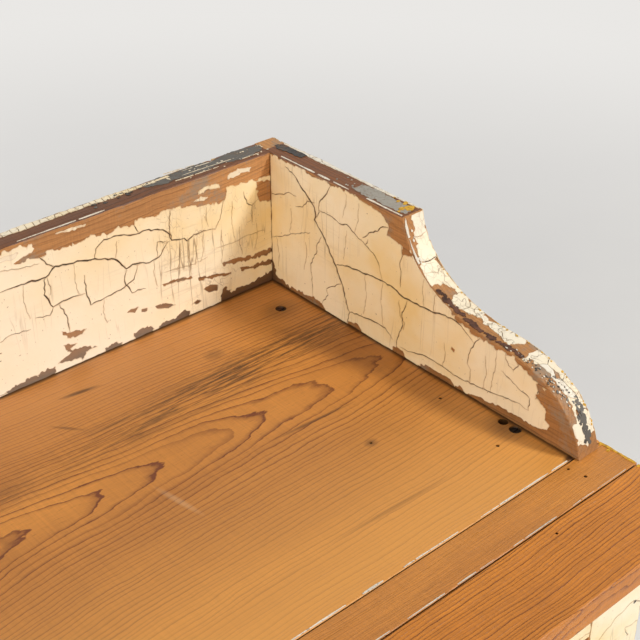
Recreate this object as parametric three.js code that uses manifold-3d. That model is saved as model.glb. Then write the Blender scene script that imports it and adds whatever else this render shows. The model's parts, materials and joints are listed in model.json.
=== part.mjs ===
// A painted pine dry sink cabinet: a galleried plank top over a two-door cupboard.
//
// Millimetres, +Z up. X runs along the front, and Y runs from the front to the wall.
// The finished group has its origin on the floor under the middle of the cabinet.
// Pieces are first laid out with y = 0 at the rear plane, where the cabinet meets the wall.
import * as THREE from "three";
import { mergeVertices } from "three/addons/utils/BufferGeometryUtils.js";
import Module from "manifold-3d";

const wasm = await Module();
wasm.setup();

// The whole cabinet
const TOP_LENGTH = 1160;
const TOP_HEIGHT = 736;
const TOP_THICKNESS = 25;
const END_OVERHANG = 30;
const FRONT_OVERHANG = 30;

// Fits
const JOINT_GAP = 0.3;
const CUT_OVERRUN = 2;

// Top boards
const REAR_BOARD_WIDTH = 409;
const MIDDLE_BOARD_WIDTH = 37;
const FRONT_BOARD_WIDTH = 72.4;
const TOP_SEAM = 0.8;

// Gallery round the well
const GALLERY_HEIGHT = 140;
const GALLERY_THICKNESS = 25;
const GALLERY_SETBACK = 10;
const GALLERY_LEVEL_RUN = 203.5;
const GALLERY_PAST_SEAM = 5.5;

// The ogee's two curves: how far along its length and how high each point is
const ogeeHollowShares = [[0.045, 0.68], [0.254, 0.493], [0.528, 0.474]];
const ogeeRoundShares = [[0.789, 0.471], [0.955, 0.3], [1, 0]];

// Case sides
const SIDE_THICKNESS = 22;
const SIDE_ARCH_WIDTH = 240;
const SIDE_ARCH_RISE = 80;
const HOUSING_DEPTH = 8;
const RABBET_WIDTH = 12;

// Bottom and shelf
const BOTTOM_THICKNESS = 20;
const SHELF_TOP_HEIGHT = 378;
const SHELF_THICKNESS = 18;
const SHELF_SETBACK = 22;
const SHELF_CLEAT_WIDTH = 20;
const SHELF_CLEAT_HEIGHT = 30;

// Back planks, tongued and grooved
const PLANK_COUNT = 5;
const PLANK_THICKNESS = 14;
const PLANK_SEAM = 1.5;
const PLANK_FLOOR_CLEARANCE = 60;
const PLANK_TONGUE_THICKNESS = 5;
const PLANK_TONGUE_LENGTH = 7;

// Rails and cleats under the top
const REAR_RAIL_THICKNESS = 20;
const REAR_RAIL_HEIGHT = 60;
const TOP_CLEAT_WIDTH = 25;
const TOP_CLEAT_HEIGHT = 35;

// Blocks behind the front feet
const FOOT_BLOCK_SIZE = 30;
const FOOT_BLOCK_CLEARANCE = 4;

// Face frame
const FRAME_THICKNESS = 22;
const OUTER_STILE_WIDTH = 70;
const CENTRE_STILE_WIDTH = 60;
const TOP_RAIL_HEIGHT = 70;
const APRON_HEIGHT = 58;
const APRON_CLEAR_HEIGHT = 62;
const BRACKET_FLOOR_CLEARANCE = 2;
const BRACKET_TOE = 12;
const STOP_STRIP_THICKNESS = 12;
const STOP_STRIP_LAP = 14;

// Mortises and tenons of the face frame and the doors
const TENON_THICKNESS = 8;
const TENON_LENGTH = 32;
const TENON_SHOULDER = 12;

// Doors
const DOOR_THICKNESS = 22;
const DOOR_GAP = 2.5;
const DOOR_STILE_WIDTH = 65;
const DOOR_TOP_RAIL_HEIGHT = 65;
const DOOR_BOTTOM_RAIL_HEIGHT = 80;
const PANEL_TONGUE_THICKNESS = 6;
const PANEL_GROOVE_DEPTH = 9;
const PANEL_SHRINKAGE = 1.5;
const PANEL_BEVEL = 38;
const PANEL_FIELD_THICKNESS = 13;

// Butt hinges
const HINGE_HEIGHT = 64;
const HINGE_INSET = 88;
const HINGE_PIN_FORWARD = 4;
const HINGE_PIN_RADIUS = 1.5;
const HINGE_PIN_CLEARANCE = 0.2;
const HINGE_PIN_HEAD_RADIUS = 2.6;
const HINGE_PIN_HEAD_HEIGHT = 2.4;
const pinHeadShares = [[1, 0], [1, 0.5], [0.6, 1], [0, 1]];
const KNUCKLE_RADIUS = 3.6;
const KNUCKLE_COUNT = 5;
const KNUCKLE_CLEARANCE = 0.3;
const LEAF_THICKNESS = 1.8;
const LEAF_WIDTH = 20;
const LEAF_SLIT = 0.4;
const LEAF_SCREW_RADIUS = 2;
const LEAF_SCREW_EDGE = 6;

// Knobs, turned in one piece with their dowels
const KNOB_DOWEL_RADIUS = 6;
const KNOB_DOWEL_LENGTH = 16;
const KNOB_HEAD_RADIUS = 17;
const KNOB_PROJECTION = 27;
const KNOB_ABOVE_MIDDLE = 15;
const knobShares = [
  [0.65, 0],
  [0.65, 0.11],
  [0.44, 0.22],
  [0.44, 0.34],
  [0.82, 0.55],
  [1, 0.74],
  [0.92, 0.88],
  [0.62, 0.96],
  [0, 1],
];

// Turn button that keeps both doors shut
const BUTTON_LENGTH = 92;
const BUTTON_WIDTH = 24;
const BUTTON_END_WIDTH = 17;
const BUTTON_THICKNESS = 9;
const BUTTON_ABOVE_KNOB = 75;
const BUTTON_SCREW_RADIUS = 2.4;
const BUTTON_SCREW_LENGTH = 26;
const BUTTON_SCREW_HEAD_RADIUS = 5;
const BUTTON_SCREW_HEAD_HEIGHT = 2.6;
const roundHeadShares = [[1, 0], [0.85, 0.6], [0.5, 1], [0, 1]];

// Countersunk screws that hold the top down
const TOP_SCREW_HEAD_RADIUS = 5.2;
const TOP_SCREW_HEAD_DEPTH = 3.4;
const TOP_SCREW_RADIUS = 2.4;
const TOP_SCREW_LENGTH = 44;
const TOP_SCREW_SINK = 2;
const SCREW_SLOT_WIDTH = 1.1;
const SCREW_SLOT_DEPTH = 1.2;
const REAR_SCREW_FROM_BACK = 73;
const FRONT_SCREW_FROM_SEAM = 57;

// How finely round forms are stepped
const CURVE_STEPS = 14;
const TURNED_STEPS = 24;
const KNUCKLE_STEPS = 16;
const DRILLED_STEPS = 12;

// Planes that several pieces share
const caseHalf = TOP_LENGTH / 2 - END_OVERHANG;
const caseInside = caseHalf - SIDE_THICKNESS;
const topUnderside = TOP_HEIGHT - TOP_THICKNESS;
const caseTop = topUnderside - JOINT_GAP;
const topDepth = REAR_BOARD_WIDTH + MIDDLE_BOARD_WIDTH + FRONT_BOARD_WIDTH + 2 * TOP_SEAM;
const faceFront = -(topDepth - FRONT_OVERHANG);
const faceBack = faceFront + FRAME_THICKNESS;
const sideFront = faceBack + JOINT_GAP;
const plankFront = -PLANK_THICKNESS;
const insideRear = plankFront - JOINT_GAP;
const galleryOutside = TOP_LENGTH / 2 - GALLERY_SETBACK;
const galleryInside = galleryOutside - GALLERY_THICKNESS;
const galleryFoot = TOP_HEIGHT + JOINT_GAP;
const openingOutside = caseHalf - OUTER_STILE_WIDTH;
const openingInside = CENTRE_STILE_WIDTH / 2;
const openingTop = caseTop - TOP_RAIL_HEIGHT;
const openingBottom = APRON_CLEAR_HEIGHT + APRON_HEIGHT;
const pinX = openingOutside - DOOR_GAP / 2;
const pinY = faceFront - HINGE_PIN_FORWARD;
const bottomZ = [openingBottom - BOTTOM_THICKNESS, openingBottom];
const doorBottom = openingBottom + DOOR_GAP;
const doorTop = openingTop - DOOR_GAP;
const knobHeight = (doorBottom + doorTop) / 2 + KNOB_ABOVE_MIDDLE;
const buttonHeight = knobHeight + BUTTON_ABOVE_KNOB;

// Finishes
function finish(color, roughness, metalness) {
  return new THREE.MeshStandardMaterial({ color, roughness, metalness });
}
const creamPaint = finish(0xefd9a9, 0.6, 0);
const oiledPine = finish(0xc98a48, 0.45, 0);
const barePine = finish(0xa87d4e, 0.8, 0);
const darkWood = finish(0x5b3a22, 0.5, 0);
const blackIron = finish(0x35302c, 0.55, 0.8);

// Closed geometry to a solid that can be cut, and back
function solidFrom(geometry) {
  const loose = geometry.index ? geometry.toNonIndexed() : geometry.clone();
  loose.deleteAttribute("normal");
  loose.deleteAttribute("uv");
  const merged = mergeVertices(loose);
  const mesh = new wasm.Mesh({
    numProp: 3,
    vertProperties: merged.attributes.position.array,
    triVerts: new Uint32Array(merged.index.array),
  });
  return new wasm.Manifold(mesh);
}

function geometryFrom(solid) {
  const mesh = solid.getMesh();
  const indexed = new THREE.BufferGeometry();
  indexed.setAttribute("position", new THREE.BufferAttribute(mesh.vertProperties, 3));
  indexed.setIndex(new THREE.BufferAttribute(mesh.triVerts, 1));
  const flat = indexed.toNonIndexed();
  flat.computeVertexNormals();
  return flat;
}

function cut(geometry, ...tools) {
  const left = tools.reduce((solid, tool) => solid.subtract(solidFrom(tool)), solidFrom(geometry));
  return geometryFrom(left);
}

function join(...geometries) {
  return geometryFrom(geometries.map(solidFrom).reduce((a, b) => a.add(b)));
}

// Spans are [low, high] pairs along one axis
function span(a, b) {
  return [Math.min(a, b), Math.max(a, b)];
}

function grow([low, high], by = JOINT_GAP) {
  return [low - by, high + by];
}

function sized([low, high]) {
  return high - low;
}

function middle([low, high]) {
  return (low + high) / 2;
}

function slab(x, y, z) {
  const box = new THREE.BoxGeometry(sized(x), sized(y), sized(z));
  return box.translate(middle(x), middle(y), middle(z));
}

// A flat shape drawn in distances towards the front and up, sawn from a board across X
function sawnAcross(shape, x) {
  const board = extrude(shape, sized(x));
  board.rotateX(Math.PI / 2);
  board.rotateZ(-Math.PI / 2);
  return board.translate(x[1], 0, 0);
}

// A flat shape drawn in X and Z, sawn from a board that faces the front
function sawnFacing(shape, y) {
  return extrude(shape, sized(y)).rotateX(Math.PI / 2).translate(0, y[1], 0);
}

function extrude(shape, depth) {
  return new THREE.ExtrudeGeometry(shape, { depth, bevelEnabled: false, curveSegments: CURVE_STEPS });
}

function outline(points) {
  return new THREE.Shape(points.map(([x, y]) => new THREE.Vector2(x, y)));
}

// Turned work and drilled holes, with profile points as [radius, height]
function turned(profile, steps = TURNED_STEPS) {
  const points = profile.map(([r, h]) => new THREE.Vector2(r, h));
  return new THREE.LatheGeometry(points, steps);
}

function rod(radius, low, high, steps = DRILLED_STEPS) {
  return turned([[0, low], [radius, low], [radius, high], [0, high]], steps);
}

// Turned about Y is the lathe's own way: these stand it up, or point it to the front
function upright(geometry) {
  return geometry.rotateX(Math.PI / 2);
}

function facingFront(geometry) {
  return geometry.rotateX(Math.PI);
}

function piece(name, geometry, material) {
  const mesh = new THREE.Mesh(geometry, material);
  mesh.name = name;
  return mesh;
}

function sideName(side) {
  return side < 0 ? "left" : "right";
}

// A tongue or tenon in the middle of a board's thickness
function centred(range, width) {
  return [middle(range) - width / 2, middle(range) + width / 2];
}

// A tenon is narrower than its rail by a shoulder at each edge, and its mortise clears it
function tenonWidth(range) {
  return grow(range, -TENON_SHOULDER);
}

function mortise(x, y, z) {
  return slab(grow(x), grow(y), grow(z));
}

// Screws that hold the top: the rear pair enters the cleats, the front pair the case sides
function topScrewPlaces(side) {
  const cleatMiddle = caseInside - JOINT_GAP - TOP_CLEAT_WIDTH / 2;
  const sideMiddle = caseInside + SIDE_THICKNESS / 2;
  return {
    rear: { x: side * cleatMiddle, y: -REAR_SCREW_FROM_BACK },
    front: { x: side * sideMiddle, y: FRONT_SCREW_FROM_SEAM - REAR_BOARD_WIDTH },
  };
}

function topScrew(name, place) {
  const headTop = TOP_HEIGHT - TOP_SCREW_SINK;
  const headFoot = headTop - TOP_SCREW_HEAD_DEPTH;
  const tip = headTop - TOP_SCREW_LENGTH;
  const tipTaper = tip + TOP_SCREW_RADIUS * 2;
  const body = upright(
    turned([
      [0, tip],
      [TOP_SCREW_RADIUS, tipTaper],
      [TOP_SCREW_RADIUS, headFoot],
      [TOP_SCREW_HEAD_RADIUS, headTop],
      [0, headTop],
    ]),
  );
  const slot = slab(
    grow([-TOP_SCREW_HEAD_RADIUS, TOP_SCREW_HEAD_RADIUS], CUT_OVERRUN),
    [-SCREW_SLOT_WIDTH / 2, SCREW_SLOT_WIDTH / 2],
    [headTop - SCREW_SLOT_DEPTH, headTop + CUT_OVERRUN],
  );
  const screw = piece(name, cut(body, slot), blackIron);
  screw.position.set(place.x, place.y, 0);
  return screw;
}

function topScrewHole(place) {
  const headTop = TOP_HEIGHT - TOP_SCREW_SINK + JOINT_GAP;
  const headFoot = headTop - TOP_SCREW_HEAD_DEPTH - JOINT_GAP;
  const headRadius = TOP_SCREW_HEAD_RADIUS + JOINT_GAP;
  const hole = turned([
    [0, headTop - TOP_SCREW_LENGTH - JOINT_GAP * 2],
    [TOP_SCREW_RADIUS + JOINT_GAP, headTop - TOP_SCREW_LENGTH - JOINT_GAP * 2],
    [TOP_SCREW_RADIUS + JOINT_GAP, headFoot],
    [headRadius, headTop],
    [headRadius, TOP_HEIGHT + CUT_OVERRUN],
    [0, TOP_HEIGHT + CUT_OVERRUN],
  ]);
  return upright(hole).translate(place.x, place.y, 0);
}

// The plank top: a wide rear board, a narrow strip and the front board
function topBoards() {
  const length = [-TOP_LENGTH / 2, TOP_LENGTH / 2];
  const thickness = [topUnderside, TOP_HEIGHT];
  const middleRear = -REAR_BOARD_WIDTH - TOP_SEAM;
  const middleFront = middleRear - MIDDLE_BOARD_WIDTH;
  const holes = [-1, 1].flatMap((side) => Object.values(topScrewPlaces(side)).map(topScrewHole));
  const rear = cut(slab(length, [-REAR_BOARD_WIDTH, 0], thickness), ...holes);
  const strip = slab(length, [middleFront, middleRear], thickness);
  const front = slab(length, [-topDepth, middleFront - TOP_SEAM], thickness);
  return [
    piece("top_board_rear", rear, oiledPine),
    piece("top_board_middle", strip, oiledPine),
    piece("top_board_front", front, oiledPine),
  ];
}

function topScrews() {
  return [-1, 1].flatMap((side) => {
    const places = topScrewPlaces(side);
    return Object.keys(places).map((end) =>
      topScrew(`top_screw_${sideName(side)}_${end}`, places[end]),
    );
  });
}

// The gallery: a back board between two sides whose front ends are sawn to an ogee
function ogeeShape() {
  const reach = REAR_BOARD_WIDTH + GALLERY_PAST_SEAM;
  const length = reach - GALLERY_LEVEL_RUN;
  const place = ([along, up]) => [GALLERY_LEVEL_RUN + along * length, up * GALLERY_HEIGHT];
  const shape = new THREE.Shape();
  shape.moveTo(0, GALLERY_HEIGHT);
  shape.lineTo(GALLERY_LEVEL_RUN, GALLERY_HEIGHT);
  shape.bezierCurveTo(...ogeeHollowShares.flatMap(place));
  shape.bezierCurveTo(...ogeeRoundShares.flatMap(place));
  shape.lineTo(0, 0);
  shape.closePath();
  return shape;
}

function gallery() {
  const backSpan = [-galleryInside + JOINT_GAP, galleryInside - JOINT_GAP];
  const height = [galleryFoot, galleryFoot + GALLERY_HEIGHT];
  const back = slab(backSpan, [-GALLERY_THICKNESS, 0], height);
  const sides = [-1, 1].map((side) => {
    const x = span(side * galleryInside, side * galleryOutside);
    const board = sawnAcross(ogeeShape(), x);
    const made = piece(`gallery_side_${sideName(side)}`, board, creamPaint);
    made.position.z = galleryFoot;
    return made;
  });
  return [piece("gallery_back", back, creamPaint), ...sides];
}

// Case sides: a wide board each, arched at the foot, housed for the bottom, rabbeted for the back
function sideShape() {
  const depth = -sideFront;
  const archMiddle = depth / 2;
  const half = SIDE_ARCH_WIDTH / 2;
  const radius = (half ** 2 + SIDE_ARCH_RISE ** 2) / (2 * SIDE_ARCH_RISE);
  const turn = Math.asin((radius - SIDE_ARCH_RISE) / radius);
  const shape = new THREE.Shape();
  shape.moveTo(0, 0);
  shape.lineTo(archMiddle - half, 0);
  shape.absarc(archMiddle, SIDE_ARCH_RISE - radius, radius, Math.PI - turn, turn, true);
  shape.lineTo(depth, 0);
  shape.lineTo(depth, caseTop);
  shape.lineTo(0, caseTop);
  shape.closePath();
  return shape;
}


function caseSide(side) {
  const x = span(side * caseInside, side * caseHalf);
  const inward = side * (caseInside - CUT_OVERRUN);
  const housing = slab(
    span(inward, side * (caseInside + HOUSING_DEPTH + JOINT_GAP)),
    [sideFront - CUT_OVERRUN, plankFront],
    grow(bottomZ),
  );
  const rabbet = slab(
    span(inward, side * (caseInside + RABBET_WIDTH + JOINT_GAP)),
    [plankFront - JOINT_GAP, CUT_OVERRUN],
    [-CUT_OVERRUN, caseTop + CUT_OVERRUN],
  );
  const screwHole = topScrewHole(topScrewPlaces(side).front);
  const board = cut(sawnAcross(sideShape(), x), housing, rabbet, screwHole);
  return piece(`case_side_${sideName(side)}`, board, creamPaint);
}

function bottomBoard() {
  const reach = caseInside + HOUSING_DEPTH;
  const board = slab([-reach, reach], [sideFront, insideRear], bottomZ);
  return piece("bottom_board", board, barePine);
}

function shelfParts() {
  const shelfUnderside = SHELF_TOP_HEIGHT - SHELF_THICKNESS;
  const cleatHeight = [shelfUnderside - JOINT_GAP - SHELF_CLEAT_HEIGHT, shelfUnderside - JOINT_GAP];
  const reach = caseInside - JOINT_GAP;
  const front = sideFront + SHELF_SETBACK;
  const rearCleatFront = insideRear - SHELF_CLEAT_WIDTH;
  const shelf = slab([-reach, reach], [front, insideRear], [shelfUnderside, SHELF_TOP_HEIGHT]);
  const rearCleat = slab([-reach, reach], [rearCleatFront, insideRear], cleatHeight);
  const endCleats = [-1, 1].map((side) => {
    const x = span(side * (reach - SHELF_CLEAT_WIDTH), side * reach);
    const y = [front, rearCleatFront - JOINT_GAP];
    return piece(`shelf_cleat_${sideName(side)}`, slab(x, y, cleatHeight), barePine);
  });
  return [
    piece("shelf", shelf, barePine),
    piece("shelf_cleat_rear", rearCleat, barePine),
    ...endCleats,
  ];
}

// Back planks, with a tongue on one edge and a groove on the other
function backPlanks() {
  const total = 2 * (caseInside + RABBET_WIDTH);
  const width = (total - PLANK_SEAM * (PLANK_COUNT - 1)) / PLANK_COUNT;
  const tongue = centred([plankFront, 0], PLANK_TONGUE_THICKNESS);
  const groove = grow(tongue);
  const grooveDepth = PLANK_TONGUE_LENGTH - PLANK_SEAM + JOINT_GAP;
  return Array.from({ length: PLANK_COUNT }, (_, i) => {
    const left = -total / 2 + i * (width + PLANK_SEAM);
    const right = left + width;
    const hasGroove = i > 0;
    const hasTongue = i < PLANK_COUNT - 1;
    const points = [[left, plankFront], [right, plankFront]];
    if (hasTongue) {
      const tip = right + PLANK_TONGUE_LENGTH;
      points.push([right, tongue[0]], [tip, tongue[0]], [tip, tongue[1]], [right, tongue[1]]);
    }
    points.push([right, 0], [left, 0]);
    if (hasGroove) {
      const deep = left + grooveDepth;
      points.push([left, groove[1]], [deep, groove[1]], [deep, groove[0]], [left, groove[0]]);
    }
    const plank = extrude(outline(points), caseTop - PLANK_FLOOR_CLEARANCE);
    const made = piece(`back_plank_${i + 1}`, plank, barePine);
    made.position.z = PLANK_FLOOR_CLEARANCE;
    return made;
  });
}

// Rail and cleats that carry the top, and the blocks behind the front feet
function innerSupports() {
  const reach = caseInside - JOINT_GAP;
  const railFront = insideRear - REAR_RAIL_THICKNESS;
  const railZ = [caseTop - REAR_RAIL_HEIGHT, caseTop];
  const rail = slab([-reach, reach], [railFront, insideRear], railZ);
  const cleats = [-1, 1].map((side) => {
    const x = span(side * (reach - TOP_CLEAT_WIDTH), side * reach);
    const y = [sideFront, railFront - JOINT_GAP];
    const body = slab(x, y, [caseTop - TOP_CLEAT_HEIGHT, caseTop]);
    const drilled = cut(body, topScrewHole(topScrewPlaces(side).rear));
    return piece(`top_cleat_${sideName(side)}`, drilled, barePine);
  });
  const blocks = [-1, 1].map((side) => {
    const x = span(side * (reach - FOOT_BLOCK_SIZE), side * reach);
    const y = [sideFront, sideFront + FOOT_BLOCK_SIZE];
    const z = [FOOT_BLOCK_CLEARANCE, bottomZ[0] - JOINT_GAP];
    return piece(`foot_block_${sideName(side)}`, slab(x, y, z), barePine);
  });
  return [piece("rear_top_rail", rail, barePine), ...cleats, ...blocks];
}

// Face frame: rails tenoned into the outer stiles, and a centre stile tenoned into the rails
const frameY = [faceFront, faceBack];
const frameTenonY = centred(frameY, TENON_THICKNESS);
const topRailZ = [openingTop, caseTop];
const apronZ = [APRON_CLEAR_HEIGHT, openingBottom];
const centreStileX = [-openingInside, openingInside];

function railTenons(z) {
  return [-1, 1].map((side) => {
    const x = span(side * (openingOutside - CUT_OVERRUN), side * (openingOutside + TENON_LENGTH));
    return slab(x, frameTenonY, tenonWidth(z));
  });
}

function outerStile(side) {
  const x = span(side * openingOutside, side * caseHalf);
  const mortiseX = span(side * (openingOutside - CUT_OVERRUN), side * (openingOutside + TENON_LENGTH));
  const mortises = [topRailZ, apronZ].map((z) => mortise(mortiseX, frameTenonY, tenonWidth(z)));
  const pockets = hingeHeights().map((z) => leafPocket(side).translate(side * pinX, pinY, z));
  const board = cut(slab(x, frameY, [0, caseTop]), ...mortises, ...pockets);
  return piece(`face_stile_${sideName(side)}`, board, creamPaint);
}

function centreStile() {
  const body = slab(centreStileX, frameY, grow([openingBottom, openingTop], -JOINT_GAP));
  const reach = grow([openingBottom, openingTop], TENON_LENGTH - JOINT_GAP);
  const tenons = slab(tenonWidth(centreStileX), frameTenonY, reach);
  const screwHole = facingFront(
    rod(BUTTON_SCREW_RADIUS + JOINT_GAP, -BUTTON_SCREW_LENGTH - JOINT_GAP, CUT_OVERRUN),
  ).translate(0, faceFront - BUTTON_THICKNESS, buttonHeight);
  const board = cut(join(body, tenons), screwHole);
  return piece("face_stile_centre", board, creamPaint);
}

function topRail() {
  const x = grow([-openingOutside, openingOutside], -JOINT_GAP);
  const body = join(slab(x, frameY, topRailZ), ...railTenons(topRailZ));
  const z = [openingTop - CUT_OVERRUN, openingTop + TENON_LENGTH];
  const rail = cut(body, mortise(tenonWidth(centreStileX), frameTenonY, z));
  return piece("face_rail_top", rail, creamPaint);
}

// The apron's lower edge: a small ogee bracket beside each foot, level in between
function apronShape() {
  const end = openingOutside - JOINT_GAP;
  const roundEnd = end - BRACKET_TOE;
  const radius = (APRON_CLEAR_HEIGHT - BRACKET_FLOOR_CLEARANCE) / 2;
  const turnHeight = BRACKET_FLOOR_CLEARANCE + radius;
  const quarter = Math.PI / 2;
  const shape = new THREE.Shape();
  shape.moveTo(-end, openingBottom);
  shape.lineTo(-end, BRACKET_FLOOR_CLEARANCE);
  shape.absarc(-roundEnd, turnHeight, radius, -quarter, 0, false);
  shape.absarc(-roundEnd + 2 * radius, turnHeight, radius, 2 * quarter, quarter, true);
  shape.absarc(roundEnd - 2 * radius, turnHeight, radius, quarter, 0, true);
  shape.absarc(roundEnd, turnHeight, radius, 2 * quarter, 3 * quarter, false);
  shape.lineTo(end, BRACKET_FLOOR_CLEARANCE);
  shape.lineTo(end, openingBottom);
  shape.closePath();
  return shape;
}

function apron() {
  const body = join(sawnFacing(apronShape(), frameY), ...railTenons(apronZ));
  const z = [openingBottom - TENON_LENGTH, openingBottom + CUT_OVERRUN];
  const rail = cut(body, mortise(tenonWidth(centreStileX), frameTenonY, z));
  return piece("face_apron", rail, creamPaint);
}

function stopStrip() {
  const x = grow(centreStileX, STOP_STRIP_LAP);
  const y = [sideFront, sideFront + STOP_STRIP_THICKNESS];
  const z = [openingBottom + JOINT_GAP, openingTop];
  return piece("door_stop_strip", slab(x, y, z), barePine);
}

function faceFrame() {
  return [outerStile(-1), outerStile(1), centreStile(), topRail(), apron(), stopStrip()];
}

// Hinge pieces, drawn round the pin: out is +1 or -1, the way from the pin to the outer stile
function hingeHeights() {
  const low = doorBottom + HINGE_INSET - HINGE_HEIGHT / 2;
  const high = doorTop - HINGE_INSET - HINGE_HEIGHT / 2;
  return [low, high];
}

function leafThicknessSpan(out) {
  const near = LEAF_SLIT / 2;
  return span(out * near, out * (near + LEAF_THICKNESS));
}

function leafPocket(out) {
  const far = LEAF_SLIT / 2 + LEAF_THICKNESS + JOINT_GAP;
  return slab(span(0, out * far), [0, LEAF_WIDTH + JOINT_GAP], grow([0, HINGE_HEIGHT]));
}

function hingeLeaf(name, out, firstKnuckle) {
  const x = leafThicknessSpan(out);
  const clear = KNUCKLE_RADIUS + KNUCKLE_CLEARANCE;
  const pitch = HINGE_HEIGHT / KNUCKLE_COUNT;
  const plate = slab(x, [clear, LEAF_WIDTH], [0, HINGE_HEIGHT]);
  const knuckles = [];
  for (let i = firstKnuckle; i < KNUCKLE_COUNT; i += 2) {
    const low = i === 0 ? 0 : i * pitch + KNUCKLE_CLEARANCE / 2;
    const high = i === KNUCKLE_COUNT - 1 ? HINGE_HEIGHT : (i + 1) * pitch - KNUCKLE_CLEARANCE / 2;
    knuckles.push(upright(rod(KNUCKLE_RADIUS, low, high, KNUCKLE_STEPS)));
    knuckles.push(slab(x, [0, clear + LEAF_THICKNESS], [low, high]));
  }
  const bore = upright(
    rod(HINGE_PIN_RADIUS + HINGE_PIN_CLEARANCE, -CUT_OVERRUN, HINGE_HEIGHT + CUT_OVERRUN),
  );
  const screwHoles = [0, 1, 2].map((i) => {
    const z = LEAF_SCREW_EDGE + (i * (HINGE_HEIGHT - 2 * LEAF_SCREW_EDGE)) / 2;
    const through = rod(LEAF_SCREW_RADIUS, -CUT_OVERRUN, LEAF_THICKNESS + LEAF_SLIT + CUT_OVERRUN);
    return through.rotateZ(-out * Math.PI / 2).translate(0, (clear + LEAF_WIDTH) / 2, z);
  });
  return piece(name, cut(join(plate, ...knuckles), bore, ...screwHoles), blackIron);
}

function hingePin(name) {
  const low = -JOINT_GAP;
  const high = HINGE_HEIGHT + JOINT_GAP;
  const head = (foot, way) =>
    pinHeadShares.map(([r, h]) => [r * HINGE_PIN_HEAD_RADIUS, foot + way * h * HINGE_PIN_HEAD_HEIGHT]);
  const profile = [
    ...head(low, -1).reverse(),
    [HINGE_PIN_RADIUS, low],
    [HINGE_PIN_RADIUS, high],
    ...head(high, 1),
  ];
  return piece(name, upright(turned(profile, DRILLED_STEPS)), blackIron);
}

function hinges(side) {
  return hingeHeights().flatMap((z, i) => {
    const place = `${sideName(side)}_${i === 0 ? "lower" : "upper"}`;
    const made = [
      hingeLeaf(`hinge_frame_leaf_${place}`, side, 0),
      hingeLeaf(`hinge_door_leaf_${place}`, -side, 1),
      hingePin(`hinge_pin_${place}`),
    ];
    made.forEach((part) => part.position.set(side * pinX, pinY, z));
    return made;
  });
}

// A door hangs from its pin: in its own frame x is zero at the pin, and y is zero at the pin too
function doorParts(side) {
  const toward = -side;
  const name = sideName(side);
  const doorY = [HINGE_PIN_FORWARD, HINGE_PIN_FORWARD + DOOR_THICKNESS];
  const tenonY = centred(doorY, TENON_THICKNESS);
  const z = [doorBottom, doorTop];
  const hingeEdge = DOOR_GAP / 2;
  const lockEdge = pinX - openingInside - DOOR_GAP;
  const panelLow = doorBottom + DOOR_BOTTOM_RAIL_HEIGHT;
  const panelHigh = doorTop - DOOR_TOP_RAIL_HEIGHT;
  const innerHinge = hingeEdge + DOOR_STILE_WIDTH;
  const innerLock = lockEdge - DOOR_STILE_WIDTH;
  const lowerRailZ = [doorBottom, panelLow];
  const upperRailZ = [panelHigh, doorTop];
  const across = (a, b) => span(toward * a, toward * b);

  // One groove runs round the inside of the frame and holds the panel's edge
  const groove = slab(
    across(innerHinge - PANEL_GROOVE_DEPTH, innerLock + PANEL_GROOVE_DEPTH),
    grow(centred(doorY, PANEL_TONGUE_THICKNESS)),
    grow([panelLow, panelHigh], PANEL_GROOVE_DEPTH),
  );

  function stile(which, edges, tenonReach, ...extra) {
    const mortises = [lowerRailZ, upperRailZ].map((railZ) =>
      mortise(across(...tenonReach), tenonY, tenonWidth(railZ)),
    );
    const board = cut(slab(across(...edges), doorY, z), groove, ...mortises, ...extra);
    return piece(`door_${name}_${which}_stile`, board, creamPaint);
  }

  function rail(which, railZ) {
    const body = slab(across(innerHinge + JOINT_GAP, innerLock - JOINT_GAP), doorY, railZ);
    const tenons = slab(
      across(innerHinge - TENON_LENGTH, innerLock + TENON_LENGTH),
      tenonY,
      tenonWidth(railZ),
    );
    return piece(`door_${name}_${which}_rail`, cut(join(body, tenons), groove), creamPaint);
  }

  const pockets = hingeHeights().map((low) => leafPocket(toward).translate(0, 0, low));
  const knobX = toward * (lockEdge - DOOR_STILE_WIDTH / 2);
  const knobHole = facingFront(
    rod(KNOB_DOWEL_RADIUS + JOINT_GAP, -KNOB_DOWEL_LENGTH - JOINT_GAP, CUT_OVERRUN),
  ).translate(knobX, HINGE_PIN_FORWARD, knobHeight);

  const knob = doorKnob(name);
  knob.position.set(knobX, HINGE_PIN_FORWARD - JOINT_GAP, knobHeight);

  const hingeTenon = [innerHinge - TENON_LENGTH, innerHinge + CUT_OVERRUN];
  const lockTenon = [innerLock - CUT_OVERRUN, innerLock + TENON_LENGTH];
  const door = new THREE.Group();
  door.add(
    stile("hinge", [hingeEdge, innerHinge], hingeTenon, ...pockets),
    stile("lock", [innerLock, lockEdge], lockTenon, knobHole),
    rail("bottom", lowerRailZ),
    rail("top", upperRailZ),
    doorPanel(name, across(innerHinge, innerLock), doorY, [panelLow, panelHigh]),
    knob,
  );
  door.position.set(side * pinX, pinY, 0);
  return door;
}

// The panel is raised: a thin edge in the groove, then a bevel up to a flat field
function doorPanel(name, sightX, doorY, sightZ) {
  const tuck = PANEL_GROOVE_DEPTH - PANEL_SHRINKAGE;
  const edgeY = centred(doorY, PANEL_TONGUE_THICKNESS);
  const edge = slab(grow(sightX, tuck), edgeY, grow(sightZ, tuck));
  const foot = { x: grow(sightX, -PANEL_SHRINKAGE), y: middle(edgeY), z: grow(sightZ, -PANEL_SHRINKAGE) };
  const field = {
    x: grow(sightX, -PANEL_BEVEL),
    y: edgeY[1] - PANEL_FIELD_THICKNESS,
    z: grow(sightZ, -PANEL_BEVEL),
  };
  return piece(`door_${name}_panel`, join(edge, bevelled(foot, field)), creamPaint);
}

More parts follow.
